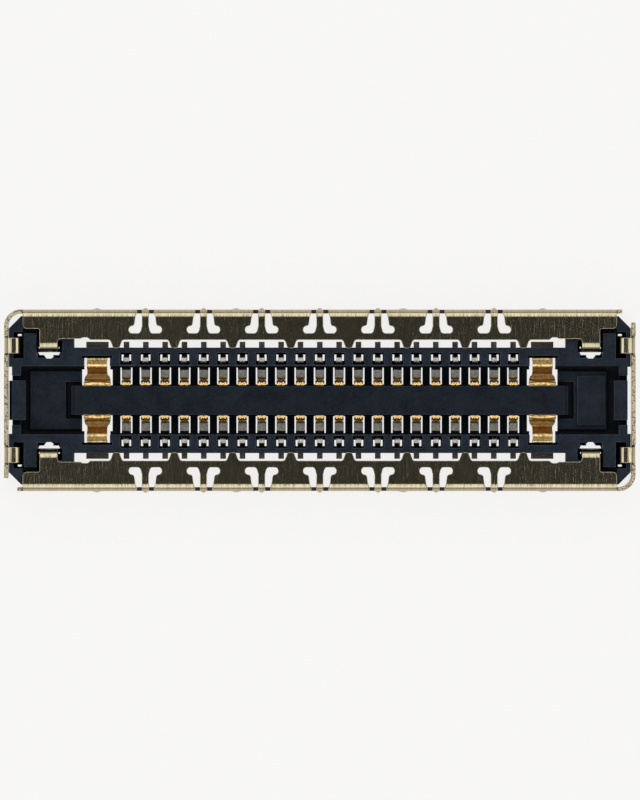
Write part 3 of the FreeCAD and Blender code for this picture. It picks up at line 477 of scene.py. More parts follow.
class ShellPattern:
    """The flat pattern of one shell half, and how it folds.

    The first axis runs along the outside of the long wall from its free end, round the corner and
    down the end wall. The second runs up the wall and on over the bends.
    """

    def __init__(self, settings):
        bend = settings.bend_radius / MM
        corner = settings.corner_radius / MM
        self.free_end = SHELL_HIGH.x
        far_end = (-SHELL_END, SHELL_LOW.y)
        walls = [(self.free_end, SHELL_SIDE), (-SHELL_END, SHELL_SIDE, corner), far_end]
        self.perimeter = BentPath(walls)
        reach = FLANGE_TAB_DEPTH
        wall = [(0, 0), (0, SHELL_TOP, bend)]
        self.flange = BentPath([*wall, (reach, SHELL_TOP)], FOLD_STEP)
        tab = [(reach, SHELL_TOP, FLANGE_TAB_RADIUS), (reach, FLANGE_TAB_END)]
        self.tab = BentPath([*wall, *tab], FOLD_STEP)
        hook = [
            (0, 0),
            (0, SHELL_TOP, END_TAB_OUTER_RADIUS),
            (END_TAB_REACH, SHELL_TOP, END_TAB_INNER_RADIUS),
            (END_TAB_REACH, END_TAB_END),
        ]
        self.hook = BentPath(hook, FOLD_STEP)
        self.over_bend = self.flange.length - reach
        corner_run = self.perimeter.parts[1]
        self.end_wall_start = corner_run[0] + corner_run[1]
        self.end_wall_y = SHELL_SIDE - corner
        self.fingers = spaced(FINGER_COUNT, FINGER_STEP)
        self.points = spaced(FINGER_COUNT + 1, FINGER_STEP)
        self.dimples = [side * place for place in DIMPLES for side in (-1, 1)]

    def along(self, x):
        """Where a place on the long wall lies along the pattern."""
        return self.free_end - x

    def along_end(self, y):
        """Where a place on the end wall lies along the pattern."""
        return self.end_wall_start + self.end_wall_y - y

    def up(self, depth):
        """How far up the pattern a depth inwards from the long wall lies."""
        return self.over_bend + depth

    def flange_end_edge(self, side):
        """The edge from the slit at one end of the flange to its first window."""
        tab_outer = FLANGE_TAB_X + FLANGE_TAB_HALF
        tab_inner = FLANGE_TAB_X - FLANGE_TAB_HALF
        notch_outer = SHOULDER_NOTCH_X + SHOULDER_NOTCH_HALF
        notch_inner = SHOULDER_NOTCH_X - SHOULDER_NOTCH_HALF
        corners = [
            (FLANGE_END + FLANGE_SLIT, WALL_TOP),
            (FLANGE_END + FLANGE_SLIT, FLANGE_SLIT_FLOOR),
            (FLANGE_END, FLANGE_SLIT_FLOOR),
            (FLANGE_END, self.up(FLANGE_CORNER_DEPTH), FLANGE_CORNER_ROUND),
            (tab_outer, self.up(FLANGE_CORNER_DEPTH), SMALL_ROUND),
            (tab_outer, self.tab.length),
            (tab_inner, self.tab.length),
            (tab_inner, self.up(SHOULDER_DEPTH), INSIDE_ROUND),
            (notch_outer, self.up(SHOULDER_DEPTH), SMALL_ROUND),
            (notch_outer - SHOULDER_NOTCH_SLOPE, self.up(SHOULDER_NOTCH_DEPTH), SMALL_ROUND),
            (notch_inner + SHOULDER_NOTCH_SLOPE, self.up(SHOULDER_NOTCH_DEPTH), SMALL_ROUND),
            (notch_inner, self.up(WINDOW_DEPTH), SMALL_ROUND),
        ]
        return [(self.along(side * corner[0]), *corner[1:]) for corner in corners]

    def outline(self):
        """The outer edge of the pattern."""
        edge = [(0.0, 0.0)]
        for x in reversed(self.fingers):
            start = self.along(x) - FOOT_GAP_HALF
            end = self.along(x) + FOOT_GAP_HALF
            edge.extend([(start, 0), (start, FOOT_GAP_HEIGHT), (end, FOOT_GAP_HEIGHT), (end, 0)])
        edge.extend([(self.perimeter.length, 0), (self.perimeter.length, WALL_TOP)])
        for y in (-END_TAB_Y, END_TAB_Y):
            middle = self.along_end(y)
            for way in (1, -1):
                side = middle + END_TAB_HALF * way
                foot = side + RELIEF_WIDTH * way
                corners = [(foot, WALL_TOP), (foot, RELIEF_LEVEL), (side, RELIEF_LEVEL)]
                corners.append((side, self.hook.length, SMALL_ROUND))
                edge.extend(corners[::way])
        edge.extend(self.flange_end_edge(-1))
        for x in self.points:
            for reach, depth, radius in (
                (-POINT_ROOT_HALF, WINDOW_DEPTH, POINT_ROUND),
                (-POINT_TIP_HALF, POINT_DEPTH, POINT_ROUND),
                (POINT_TIP_HALF, POINT_DEPTH, POINT_ROUND),
                (POINT_ROOT_HALF, WINDOW_DEPTH, POINT_ROUND),
            ):
                edge.append((self.along(x + reach), self.up(depth), radius))
        edge.extend(reversed(self.flange_end_edge(1)))
        edge.append((0, WALL_TOP))
        return edge

    def finger_slot(self, x):
        """The slot round one spring finger."""
        middle = self.along(x)
        foot = self.up(SLOT_FOOT_DEPTH)
        root = self.up(SLOT_ROOT_DEPTH)
        half = [
            (SLOT_TOP_HALF, WINDOW_SILL, SMALL_ROUND),
            (SLOT_TOP_HALF, self.flange.bend_stops()[0]),
            (SLOT_HALF, foot, INSIDE_ROUND),
            (SLOT_FOOT_HALF, foot, INSIDE_ROUND),
            (SLOT_FOOT_HALF, root, INSIDE_ROUND),
            (FINGER_ROOT_HALF, root, INSIDE_ROUND),
            (FINGER_HALF, foot, INSIDE_ROUND),
            (FINGER_HALF, FINGER_END, SMALL_ROUND / 2),
        ]
        right = [(middle + corner[0], *corner[1:]) for corner in half]
        left = [(middle - corner[0], *corner[1:]) for corner in reversed(half)]
        return right + left

    def fold_at(self, along):
        """The fold that a point of the pattern follows, or None on a plain wall."""
        if along < self.along(-FLANGE_END) + CUT_TOLERANCE:
            x = self.free_end - along
            if abs(x) > FLANGE_END + CUT_TOLERANCE:
                return None
            on_tab = abs(abs(x) - FLANGE_TAB_X) < FLANGE_TAB_HALF + CUT_TOLERANCE
            return self.tab if on_tab else self.flange
        for y in (-END_TAB_Y, END_TAB_Y):
            if abs(along - self.along_end(y)) < END_TAB_HALF + CUT_TOLERANCE:
                return self.hook
        return None

    def stand(self, along, up):
        """How far a dimple stands out from the long wall."""
        rise = swell(up - BUMP_LEVEL, BUMP_HEIGHT)
        if not rise or along > self.along(-FLANGE_END):
            return 0.0
        x = self.free_end - along
        return DIMPLE_STAND * rise * sum(swell(x - place, DIMPLE_WIDTH) for place in self.dimples)

    def folded(self, along, up):
        """The place of a point of the pattern once the sheet is bent."""
        spot, heading = self.perimeter.at(along)
        fold = self.fold_at(along)
        inward, level = (0.0, up) if fold is None else fold.at(up)[0]
        inward -= self.stand(along, up)
        inside = Vector((-math.sin(heading), math.cos(heading)))
        place = spot + inside * inward
        return Vector((place.x, place.y, level))

    def bend_lines(self, flat):
        """Cuts the pattern along its bends and round its bumps."""
        left = self.along(-FLANGE_END) + CUT_TOLERANCE
        tall = self.tab.length
        score(flat, 1, self.flange.bend_stops(), (0, 0), (left, tall))
        tab_stops = [stop for stop in self.tab.bend_stops() if stop > self.up(SHOULDER_DEPTH)]
        for side in (-1, 1):
            middle = self.along(side * FLANGE_TAB_X)
            reach = FLANGE_TAB_HALF + CUT_TOLERANCE
            score(flat, 1, tab_stops, (middle - reach, 0), (middle + reach, tall))
        far_corner = (self.perimeter.length, tall)
        score(flat, 1, self.hook.bend_stops(), (self.end_wall_start, 0), far_corner)
        score(flat, 0, self.perimeter.bend_stops(), (0, 0), far_corner)
        low = BUMP_LEVEL - BUMP_HEIGHT / 2
        rows = [low + BUMP_HEIGHT * i / BUMP_ROWS for i in range(BUMP_ROWS + 1)]
        score(flat, 1, rows, (0, 0), (left, tall))
        bumps = [(place, DIMPLE_WIDTH) for place in self.dimples]
        bumps.extend((finger, BUMP_WIDTH) for finger in self.fingers)
        for place, width in bumps:
            start = self.along(place) - width / 2
            columns = [start + width * i / BUMP_COLUMNS for i in range(BUMP_COLUMNS + 1)]
            score(flat, 0, columns, (start, low), (start + width, low + BUMP_HEIGHT))

    def press_fingers(self, mesh):
        """Presses the bump of each finger out of the sheet's outer face."""
        for vert in mesh.vertices:
            place = vert.co
            rise = swell(place.z - BUMP_LEVEL, BUMP_HEIGHT)
            if rise and abs(place.y - SHELL_SIDE) < MERGE_DISTANCE:
                across = sum(swell(place.x - finger, BUMP_WIDTH) for finger in self.fingers)
                place.y += BUMP_STAND * math.sqrt(rise * across)

    def mesh(self):
        """The outer face of the folded half."""
        loops = [rounded(self.outline())]
        loops.extend(rounded(self.finger_slot(x)) for x in self.fingers)
        flat = filled(loops)
        self.bend_lines(flat)
        merge_flat_faces(flat, {"SEAM"})
        spare = [
            vert for vert in flat.verts
            if len(vert.link_edges) == 2 and vert.calc_edge_angle(1) < FLAT_ANGLE
        ]
        bmesh.ops.dissolve_verts(flat, verts=spare)
        for vert in flat.verts:
            vert.co = self.folded(vert.co.x, vert.co.y)
        for edge in flat.edges:
            edge.seam = False
        return form_mesh(flat, "folded_sheet")


def make_shell(settings):
    """Both stamped halves; the second is the first one turned half a turn."""
    pattern = ShellPattern(settings)
    draft = new_object("folded_sheet", pattern.mesh())
    draft.data.materials.append(plating_material(settings))
    draft.data.materials.append(sheared_material(settings))
    wall = draft.modifiers.new("Sheet", "SOLIDIFY")
    wall.thickness = settings.sheet / MM
    wall.offset = -1
    wall.use_even_offset = True
    wall.material_offset_rim = 1
    add_edge_round(draft, settings.edge_round / MM)
    mesh = baked_mesh(draft, "pressed_sheet")
    bpy.data.objects.remove(draft)
    pattern.press_fingers(mesh)
    pressed = new_object("pressed_sheet", mesh)
    add_even_normals(pressed)
    for node, turned in zip(SHELL_NODES, (False, True)):
        name = node.replace("shell_half", "stamped_half")
        finish_piece(pressed, name, [node], turned)
    bpy.data.objects.remove(pressed)


def strip_mesh(name, path, thickness, half_width_at, breaks, across, emboss):
    """A formed strip that follows a path in the YZ plane.

    The path runs along one face and the strip's thickness lies on its left. The half width depends
    on the place along Y, and emboss gives how far a point of the section is pushed to the right.
    """
    form = bmesh.new()
    rings = []
    steps = [2 * i / (across - 1) - 1 for i in range(across)]
    for stop in path.stops(breaks):
        point, heading = path.at(stop)
        left = Vector((-math.sin(heading), math.cos(heading)))
        ring = []
        for back, order in ((False, steps), (True, steps[::-1])):
            for step in order:
                place = path.mitre(stop, thickness) if back else point
                place = place - left * emboss(step, point)
                ring.append(form.verts.new((step * half_width_at(place.x), place.x, place.y)))
        rings.append(ring)
    for first, second in zip(rings, rings[1:]):
        for i in range(len(first)):
            j = (i + 1) % len(first)
            form.faces.new((first[i], first[j], second[j], second[i]))
    form.faces.new(rings[0])
    form.faces.new(rings[-1])
    bmesh.ops.remove_doubles(form, verts=form.verts[:], dist=MERGE_DISTANCE)
    bmesh.ops.recalc_face_normals(form, faces=form.faces[:])
    return form_mesh(form, name)


def stepped(places):
    """A half width that changes in straight lines between (place, half width) pairs."""

    def half_width_at(place):
        if place >= places[0][0]:
            return places[0][1]
        for (high, first), (low, second) in zip(places, places[1:]):
            if place >= low:
                return second + (first - second) * (place - low) / (high - low)
        return places[-1][1]

    return half_width_at


class Nodes:
    """Adds nodes to a tree and links them."""

    def __init__(self, tree):
        self.tree = tree

    def fill(self, inputs, values):
        """Links or sets inputs by name or number."""
        for key, value in values.items():
            if isinstance(value, bpy.types.NodeSocket):
                self.tree.links.new(value, inputs[key])
            else:
                inputs[key].default_value = value

    def add(self, kind, values=None, **settings):
        """Adds a node, sets its properties and then its inputs, and gives its outputs."""
        node = self.tree.nodes.new(kind)
        for key, value in settings.items():
            setattr(node, key, value)
        self.fill(node.inputs, values or {})
        return node.outputs

    def math(self, operation, first, second=0.0):
        """What an operation makes of two numbers or sockets."""
        return self.add("ShaderNodeMath", {0: first, 1: second}, operation=operation)[0]

    def blend(self, first, second, share):
        """A weighted sum of two values; the share is the first one's."""
        most = self.math("MULTIPLY", first, share)
        return self.math("ADD", most, self.math("MULTIPLY", second, 1 - share))

    def mix(self, share, first, second):
        """A colour between two colours."""
        return self.add("ShaderNodeMix", {0: share, 6: first, 7: second}, data_type="RGBA")[2]

    def tint(self, share, colour, start, end):
        """A colour that goes from one shade of itself to another."""
        return self.mix(share, shade(colour, start), shade(colour, end))

    def spread(self, value, low, high, start=0.0, end=1.0):
        """A value stretched from one range to another and held inside it."""
        return self.add("ShaderNodeMapRange", {0: value, 1: low, 2: high, 3: start, 4: end})[0]

    def zone(self, value, limits, start=0.0, end=1.0):
        """A value that changes between two limits, which are places in millimetres."""
        return self.spread(value, limits[0] * MM, limits[1] * MM, start, end)

    def noise(self, place, scale, detail, roughness=0.5):
        """Soft noise about the middle grey."""
        values = {"Vector": place, "Scale": scale, "Detail": detail, "Roughness": roughness}
        return self.add("ShaderNodeTexNoise", values)[0]

    def group(self, tree, place, **values):
        """Places a shared group with its own values, and gives its mask."""
        return self.add("ShaderNodeGroup", {"Vector": place, **values}, node_tree=tree)[0]


def rows_tree():
    """Sets a contact along a row and along the facing row, turned half a turn."""
    tree = bpy.data.node_groups.new("Two facing rows", "GeometryNodeTree")
    sockets = {}
    for label, kind in (
        ("Contact", "NodeSocketGeometry"),
        ("Columns", "NodeSocketInt"),
        ("Pitch", "NodeSocketFloat"),
        ("Metal", "NodeSocketMaterial"),
    ):
        sockets[label] = tree.interface.new_socket(label, in_out="INPUT", socket_type=kind).identifier
    tree.interface.new_socket("Rows", in_out="OUTPUT", socket_type="NodeSocketGeometry")
    nodes = Nodes(tree)
    source = nodes.add("NodeGroupInput")
    spaces = nodes.math("SUBTRACT", source["Columns"], 1)
    start = nodes.math("MULTIPLY", nodes.math("MULTIPLY", spaces, source["Pitch"]), -0.5)
    first = nodes.add("ShaderNodeCombineXYZ", {"X": start})[0]
    offset = nodes.add("ShaderNodeCombineXYZ", {"X": source["Pitch"]})[0]
    values = {"Count": source["Columns"], "Start Location": first, "Offset": offset}
    line = nodes.add("GeometryNodeMeshLine", values, mode="OFFSET")[0]
    values = {"Points": line, "Instance": source["Contact"]}
    placed = nodes.add("GeometryNodeInstanceOnPoints", values)[0]
    values = {"Geometry": placed, "Rotation": (0, 0, math.pi)}
    facing = nodes.add("GeometryNodeTransform", values)[0]
    joined = nodes.add("GeometryNodeJoinGeometry", {0: placed})[0]
    tree.links.new(facing, joined.node.inputs[0])
    real = nodes.add("GeometryNodeRealizeInstances", {0: joined})[0]
    values = {"Geometry": real, "Material": source["Metal"]}
    nodes.add("NodeGroupOutput", {"Rows": nodes.add("GeometryNodeSetMaterial", values)[0]})
    return tree, sockets


def make_rows(mesh, edge_round, columns, pitch, metal, name, nodes):
    """Rounds a contact, sets it in both rows and finishes them as one piece."""
    draft = new_object("contact_draft", mesh)
    add_edge_round(draft, edge_round)
    add_even_normals(draft)
    tree, sockets = rows_tree()
    rows = draft.modifiers.new("Rows", "NODES")
    rows.node_group = tree
    rows[sockets["Columns"]] = columns
    rows[sockets["Pitch"]] = pitch
    rows[sockets["Metal"]] = metal
    finish_piece(draft, name, nodes)
    bpy.data.objects.remove(draft)


def head_share(point, start):
    """How much of a head's form a point has: none at its start, all of it a little above."""
    return min(1.0, max(0.0, (point.y - start) / HEAD_RISE))


def make_signal_contacts(settings):
    """The signal contacts: tail, leg, crest, beam and sprung arm with two ribs on its head."""
    strip = settings.signal_strip / MM
    # a corner's third value is the radius of its bend
    path = BentPath(
        [
            (SIGNAL_HIGH.y, strip),
            (SIGNAL_LEG, strip, 0.02),
            (SIGNAL_LEG, SIGNAL_HIGH.z, 0.024),
            (SIGNAL_CREST, SIGNAL_HIGH.z, 0.062),
            (SIGNAL_CREST, SIGNAL_BEAM_LEVEL, 0.03),
            (SIGNAL_ARM, SIGNAL_BEAM_LEVEL, 0.035),
            (SIGNAL_HEAD, SIGNAL_HEAD_LEVEL, 0.085),
            (SIGNAL_TIP, SIGNAL_HEAD_LEVEL - SIGNAL_TIP_DROP),
        ]
    )
    widths = stepped(SIGNAL_WIDTHS)

    def ribs(step, point):
        if point.x > RIB_ROOT:
            return 0.0
        hollow = swell(abs(step) - RIB_PLACE, RIB_WIDTH) - 1
        return RIB_HEIGHT * head_share(point, RIB_START) * hollow

    make_rows(
        strip_mesh("signal_contact", path, strip, widths, SIGNAL_CUTS, SIGNAL_ACROSS, ribs),
        settings.edge_round / MM,
        settings.columns,
        settings.pitch / MM,
        signal_material(settings),
        "signal_contacts",
        SIGNAL_NODES,
    )


def make_power_contacts(settings):
    """The four power contacts: wide strips whose heads flare beside the island."""
    strip = settings.power_strip / MM
    # a corner's third value is the radius of its bend
    path = BentPath(
        [
            (POWER_HIGH.y, strip),
            (POWER_LEG, strip, 0.02),
            (POWER_LEG, POWER_HIGH.z, 0.035),
            (POWER_CREST, POWER_HIGH.z, strip + 0.02),
            (POWER_FALL, POWER_FLOOR_LEVEL, 0.05),
            (POWER_ARM, POWER_FLOOR_LEVEL, 0.04),
            (POWER_HEAD, POWER_HEAD_LEVEL, strip + 0.005),
            (POWER_TIP, POWER_HEAD_LEVEL - POWER_TIP_DROP),
        ]
    )
    widths = stepped(POWER_WIDTHS)

    def crown(step, point):
        if point.x > CROWN_ROOT:
            return 0.0
        return -CROWN_DEPTH * head_share(point, CROWN_START) * step * step

    make_rows(
        strip_mesh("power_contact", path, strip, widths, POWER_CUTS, POWER_ACROSS, crown),
        settings.edge_round / MM,
        2,
        2 * POWER_X,
        power_material(settings),
        "power_contacts",
        POWER_NODES,
    )


def both_sides(low, high, *rest):
    """A box and its mirror image on the other side of X = 0."""
    return (low, high, *rest), (-high, -low, *rest)


# what the moulding has beyond its node, as boxes in millimetres: both corners along X, Y and Z
COLUMN_FILLS = (
    # round the crest's leg
    (-0.056, 0.056, 0.640, 0.6765, 0.20, 0.2395),
    *both_sides(0.053, 0.064, 0.6765, 0.7175, 0.20, 0.2395),
    # outer end and sides of the hole
    (-0.096, 0.096, 0.828, 0.850, 0.10, 0.2395),
    *both_sides(0.086, 0.098, 0.700, 0.840, 0.10, 0.2395),
    # sides and outer end of the slot
    *both_sides(0.1075, 0.117, 0.284, 0.62, 0.062, 0.1395),
    (-0.112, 0.112, 0.590, 0.630, 0.0915, 0.1390),
    # lip over the beam's root
    (-0.084, 0.084, 0.550, 0.600, 0.0915, 0.1390),
)
CORNER_FILLS = (
    # beside the bump of the slit
    (FLANGE_TAB_X - 0.17, FLANGE_TAB_X - 0.085, 0.795, 0.819, 0.30, 0.515),
    (FLANGE_TAB_X + 0.085, FLANGE_TAB_X + 0.17, 0.795, 0.819, 0.30, 0.515),
)
CORNER_CUTS = (
    # groove along the flange's corner, and the room on both sides of its tab
    (5.05, 5.373, 1.206, 1.30, 0.40, 0.70),
    (5.05, 5.116, 0.873, 1.30, 0.25, 0.70),
    (4.65, 4.745, 0.860, 1.075, 0.25, 0.70),
    # small gaps beside the tab, right through
    (5.062, 5.086, 0.940, 0.965, -0.10, 0.70),
    (4.704, 4.728, 0.940, 0.965, -0.10, 0.70),
    # end of the slit's bump
    (FLANGE_TAB_X - 0.055, FLANGE_TAB_X + 0.055, 0.755, 0.80, -0.10, 0.70),
)
# each place is a factor for X, a factor for Y and a shift along X
CORNERS = [(side, row, 0.0) for side in (-1, 1) for row in (-1, 1)]


def add_boxes(form, boxes, places):
    """Adds boxes to a form at each place."""
    for flip_x, flip_y, x in places:
        for box in boxes:
            low = Vector(box[0::2])
            high = Vector(box[1::2])
            middle = (low + high) / 2
            middle.x = middle.x * flip_x + x
            middle.y *= flip_y
            size = Matrix.Diagonal((*(high - low), 1.0))
            bmesh.ops.create_cube(form, size=1.0, matrix=Matrix.Translation(middle) @ size)


def cut_corners(mesh):
    """The mesh with the four corners' small grooves and gaps cut."""
    cutter = bmesh.new()
    add_boxes(cutter, CORNER_CUTS, CORNERS)
    tool = new_object("corner_cuts", form_mesh(cutter, "corner_cuts"))
    whole = new_object("whole_housing", mesh)
    cut = whole.modifiers.new("Corner cuts", "BOOLEAN")
    cut.operation = "DIFFERENCE"
    cut.solver = "EXACT"
    cut.use_self = True
    cut.object = tool
    result = baked_mesh(whole, "cut_housing")
    bpy.data.objects.remove(whole)
    bpy.data.objects.remove(tool)
    return result


def make_housing(settings):
    """The moulding: the merged form of its node with its smallest forms and rounded edges."""
    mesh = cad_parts["housing"].data.copy()
    if "custom_normal" in mesh.attributes:
        mesh.attributes.remove(mesh.attributes["custom_normal"])
    mesh.transform(Matrix.Scale(1 / MM, 4))
    form = bmesh.new()
    form.from_mesh(mesh)
    bmesh.ops.remove_doubles(form, verts=form.verts[:], dist=MERGE_DISTANCE)
    mesh = cut_corners(form_mesh(form, "merged_housing"))
    form = bmesh.new()
    form.from_mesh(mesh)
    merge_flat_faces(form, set())
    weight = form.edges.layers.float.new("bevel_weight_edge")
    shortest = settings.edge_round / MM * SHORTEST_ROUNDED
    for edge in form.edges:
        sharp = edge.is_convex and edge.calc_face_angle(0) > EDGE_ANGLE
        if sharp and edge.calc_length() > shortest:
            edge[weight] = 1.0
    columns = [(1, row, x) for x in spaced(COLUMNS, PITCH) for row in (-1, 1)]
    add_boxes(form, COLUMN_FILLS, columns)
    add_boxes(form, CORNER_FILLS, CORNERS)
    for face in form.faces:
        face.material_index = 0
    mesh = form_mesh(form, "housing_draft")
    mesh.materials.append(resin_material("Black moulded resin", settings.resin, roughness=0.42))
    # the second material is the lighter resin that paints a highlight on the rounded edges
    mesh.materials.append(resin_material("Black resin, painted edge highlight", settings.resin_edge_highlight, roughness=0.33))
    draft = new_object("housing_draft", mesh)
    add_edge_round(draft, settings.edge_round / MM, by_weight=True)
    add_even_normals(draft)
    finish_piece(draft, "moulded_housing", ["housing"])
    bpy.data.objects.remove(draft)


# where the finishes and the painted shade change, in millimetres
BEND_CREST = (SHELL_TOP - 0.02, SHELL_TOP - 0.004)
WALL_SHADE = (0.20, 0.40)
CAVITY_SHADE = (0.12, 0.24)
ISLAND_SIDE = (0.30, 0.28)
ISLAND_END = (4.60, 4.50)
GILDED_HEAD = (0.42, 0.40)
LOW_GOLD_SHADE = (0.14, 0.40)
SHADED_TAIL = (0.86, 0.92)

# shares of a finish over another, and of a colour's brightness; the low edge, cavity and tail shares
# are painted shade
WEAR = 0.25
WORN_SHADE = 0.7
LOW_EDGE_SHADE = 0.15
CAVITY_PAINTED_SHADE = 0.30
ISLAND = 0.35
ISLAND_TONE = 0.05
TAIL_SHADE = 0.38
GILDING_POLISH = -0.32


def shade(colour, share):
    """A colour with its brightness scaled, as four numbers."""
    return (*(min(1.0, channel * share) for channel in colour), 1.0)


def shared_group(name, values, output, build):
    """A shader node group that makes a mask; it is built once and placed in each material."""
    group = bpy.data.node_groups.get(name)
    if group is not None:
        return group
    group = bpy.data.node_groups.new(name, "ShaderNodeTree")
    group.interface.new_socket("Vector", in_out="INPUT", socket_type="NodeSocketVector")
    for label, value in values.items():
        socket = group.interface.new_socket(label, in_out="INPUT", socket_type="NodeSocketFloat")
        socket.default_value = value
    group.interface.new_socket(output, in_out="OUTPUT", socket_type="NodeSocketFloat")
    nodes = Nodes(group)
    mask = build(nodes, nodes.add("NodeGroupInput"))
    nodes.add("NodeGroupOutput", {output: mask})
    return group


def brushing_group():
    """Fine streaks along one direction, as a brushed or rolled sheet has."""

    def build(nodes, source):
        values = {0: source["Across"], 1: source["Along"], 2: source["Along"]}
        scale = nodes.add("ShaderNodeCombineXYZ", values)[0]
        values = {0: source["Vector"], 1: scale}
        stretched = nodes.add("ShaderNodeVectorMath", values, operation="MULTIPLY")[0]
        fine = nodes.noise(stretched, scale=1.0, detail=3.0)
        broad = nodes.noise(stretched, scale=0.35, detail=2.0)
        return nodes.spread(nodes.blend(fine, broad, share=0.85), low=0.36, high=0.64)

    return shared_group("Brushing", {"Across": 48000.0, "Along": 2500.0}, "Streaks", build)


def mottle_group():
    """Soft uneven patches at a given grain, finer and coarser together."""

    def build(nodes, source):
        frequency = nodes.math("DIVIDE", 1.0, source["Grain"])
        patches = nodes.noise(source["Vector"], frequency, detail=5.0, roughness=0.62)
        patches = nodes.spread(patches, low=0.32, high=0.68)
        scaled = nodes.math("MULTIPLY", patches, source["Contrast"])
        middle = nodes.math("MULTIPLY", source["Contrast"], -0.5)
        return nodes.math("ADD", scaled, nodes.math("ADD", middle, 0.5))

    return shared_group("Mottle", {"Grain": 0.05 * MM, "Contrast": 1.0}, "Patches", build)


def fleck_group():
    """Dark flecks and pits, as a sheared edge has."""

    def build(nodes, source):
        frequency = nodes.math("DIVIDE", 1.0, source["Grain"])
        cells = nodes.noise(source["Vector"], frequency, detail=2.0, roughness=0.7)
        top = nodes.math("ADD", source["Amount"], 0.06)
        return nodes.math("SUBTRACT", 1.0, nodes.spread(cells, source["Amount"], top))

    return shared_group("Shear flecks", {"Grain": 0.03 * MM, "Amount": 0.42}, "Flecks", build)


def new_material(name):
    """A material with its nodes, its shader's inputs and its object coordinates."""
    material = bpy.data.materials.new(name)
    material.use_nodes = True
    nodes = Nodes(material.node_tree)
    shader = material.node_tree.nodes["Principled BSDF"].inputs
    return material, nodes, shader, nodes.add("ShaderNodeTexCoord")["Object"]


def mottle(nodes, place, grain, contrast=1.0):
    """The mottle of a surface, with its grain in millimetres."""
    return nodes.group(mottle_group(), place, Grain=grain * MM, Contrast=contrast)


def set_surface(nodes, shader, colour, rough, height, depth, metallic=1.0):
    """Sets a surface's colour and roughness, and its relief with a depth in millimetres."""
    values = {"Height": height, "Strength": 1.0, "Distance": depth * MM}
    relief = nodes.add("ShaderNodeBump", values)[0]
    values = {"Base Color": colour, "Roughness": rough, "Normal": relief, "Metallic": metallic}
    nodes.fill(shader, values)


def plating_material(settings):
    """The plated sheet, brushed across the connector."""
    material, nodes, shader, place = new_material("Brushed plating")
    level = nodes.add("ShaderNodeSeparateXYZ", {0: place})["Z"]
    streaks = nodes.group(brushing_group(), place)
    flat = nodes.zone(level, BEND_CREST, start=0.3)
    around = nodes.math("MULTIPLY", nodes.math("SUBTRACT", streaks, 0.5), flat)
    streaks = nodes.math("ADD", around, 0.5)
    patches = mottle(nodes, place, grain=0.25, contrast=0.6)
    streaked = nodes.tint(streaks, settings.plating, start=0.55, end=1.45)
    wear = nodes.math("MULTIPLY", patches, WEAR)
    worn = nodes.mix(wear, streaked, shade(settings.plating, WORN_SHADE))
    rough = nodes.spread(streaks, 0, 1, start=0.24, end=0.15)
    set_surface(nodes, shader, worn, rough, streaks, depth=0.0011)
    return material


def sheared_material(settings):
    """The cut edges of the sheet, with the dark flecks that shearing leaves, and painted shade that
    darkens them low on the wall.
    """
    material, nodes, shader, place = new_material("Sheared edge")
    level = nodes.add("ShaderNodeSeparateXYZ", {0: place})["Z"]
    flecks = nodes.group(fleck_group(), place)
    flecked = nodes.tint(flecks, settings.sheared, start=1.0, end=0.25)
    # painted shade: cut edges low on the wall darken to a small share of their colour
    low = shade(settings.sheared, LOW_EDGE_SHADE)
    colour = nodes.mix(nodes.zone(level, WALL_SHADE), low, flecked)
    rough = nodes.spread(flecks, 0, 1, start=0.68, end=0.8)
    set_surface(nodes, shader, colour, rough, flecks, depth=0.002)
    return material


def resin_material(name, colour, roughness):
    """Black moulded resin with a faint mottle, darkened low in the cavity as painted shade, and
    darker on the island.
    """
    material, nodes, shader, place = new_material(name)
    spot = nodes.add("ShaderNodeSeparateXYZ", {0: place})
    fine = mottle(nodes, place, grain=0.03)
    both = nodes.blend(fine, mottle(nodes, place, grain=0.3), share=0.5)
    mottled = nodes.tint(both, colour, start=0.45, end=1.6)
    # painted shade: the resin low in the cavity darkens to a small share of its colour
    shaded = nodes.mix(nodes.zone(spot["Z"], CAVITY_SHADE), shade(colour, CAVITY_PAINTED_SHADE), mottled)
    between = nodes.zone(nodes.math("ABSOLUTE", spot["Y"]), ISLAND_SIDE)
    inside = nodes.zone(nodes.math("ABSOLUTE", spot["X"]), ISLAND_END)
    island = nodes.math("MULTIPLY", nodes.math("MULTIPLY", between, inside), ISLAND)
    shaded = nodes.mix(island, shaded, shade(colour, ISLAND_TONE))
    rough = nodes.spread(fine, 0, 1, start=roughness - 0.06, end=roughness + 0.08)
    set_surface(nodes, shader, shaded, rough, fine, depth=0.0015, metallic=0.0)
    shader["Specular IOR Level"].default_value = 0.08
    return material


def signal_material(settings):
    """Nickel strip whose head is gilded, and whose tails are darkened as painted shade."""
    material, nodes, shader, place = new_material("Nickel strip with gilded head")
    out = nodes.math("ABSOLUTE", nodes.add("ShaderNodeSeparateXYZ", {0: place})["Y"])
    gilded = nodes.zone(out, GILDED_HEAD)
    tail = nodes.zone(out, SHADED_TAIL)
    patches = mottle(nodes, place, grain=0.045)
    nickel = nodes.tint(patches, settings.nickel, start=0.65, end=1.3)
    # painted shade: the tails darken to a small share of the nickel
    strip = nodes.mix(tail, nickel, shade(settings.nickel, TAIL_SHADE))
    gold = nodes.tint(patches, settings.gold, start=0.85, end=1.1)
    strip_rough = nodes.spread(tail, 0, 1, start=0.58, end=0.36)
    rough = nodes.math("ADD", strip_rough, nodes.math("MULTIPLY", gilded, GILDING_POLISH))
    set_surface(nodes, shader, nodes.mix(gilded, strip, gold), rough, patches, depth=0.0022)
    return material


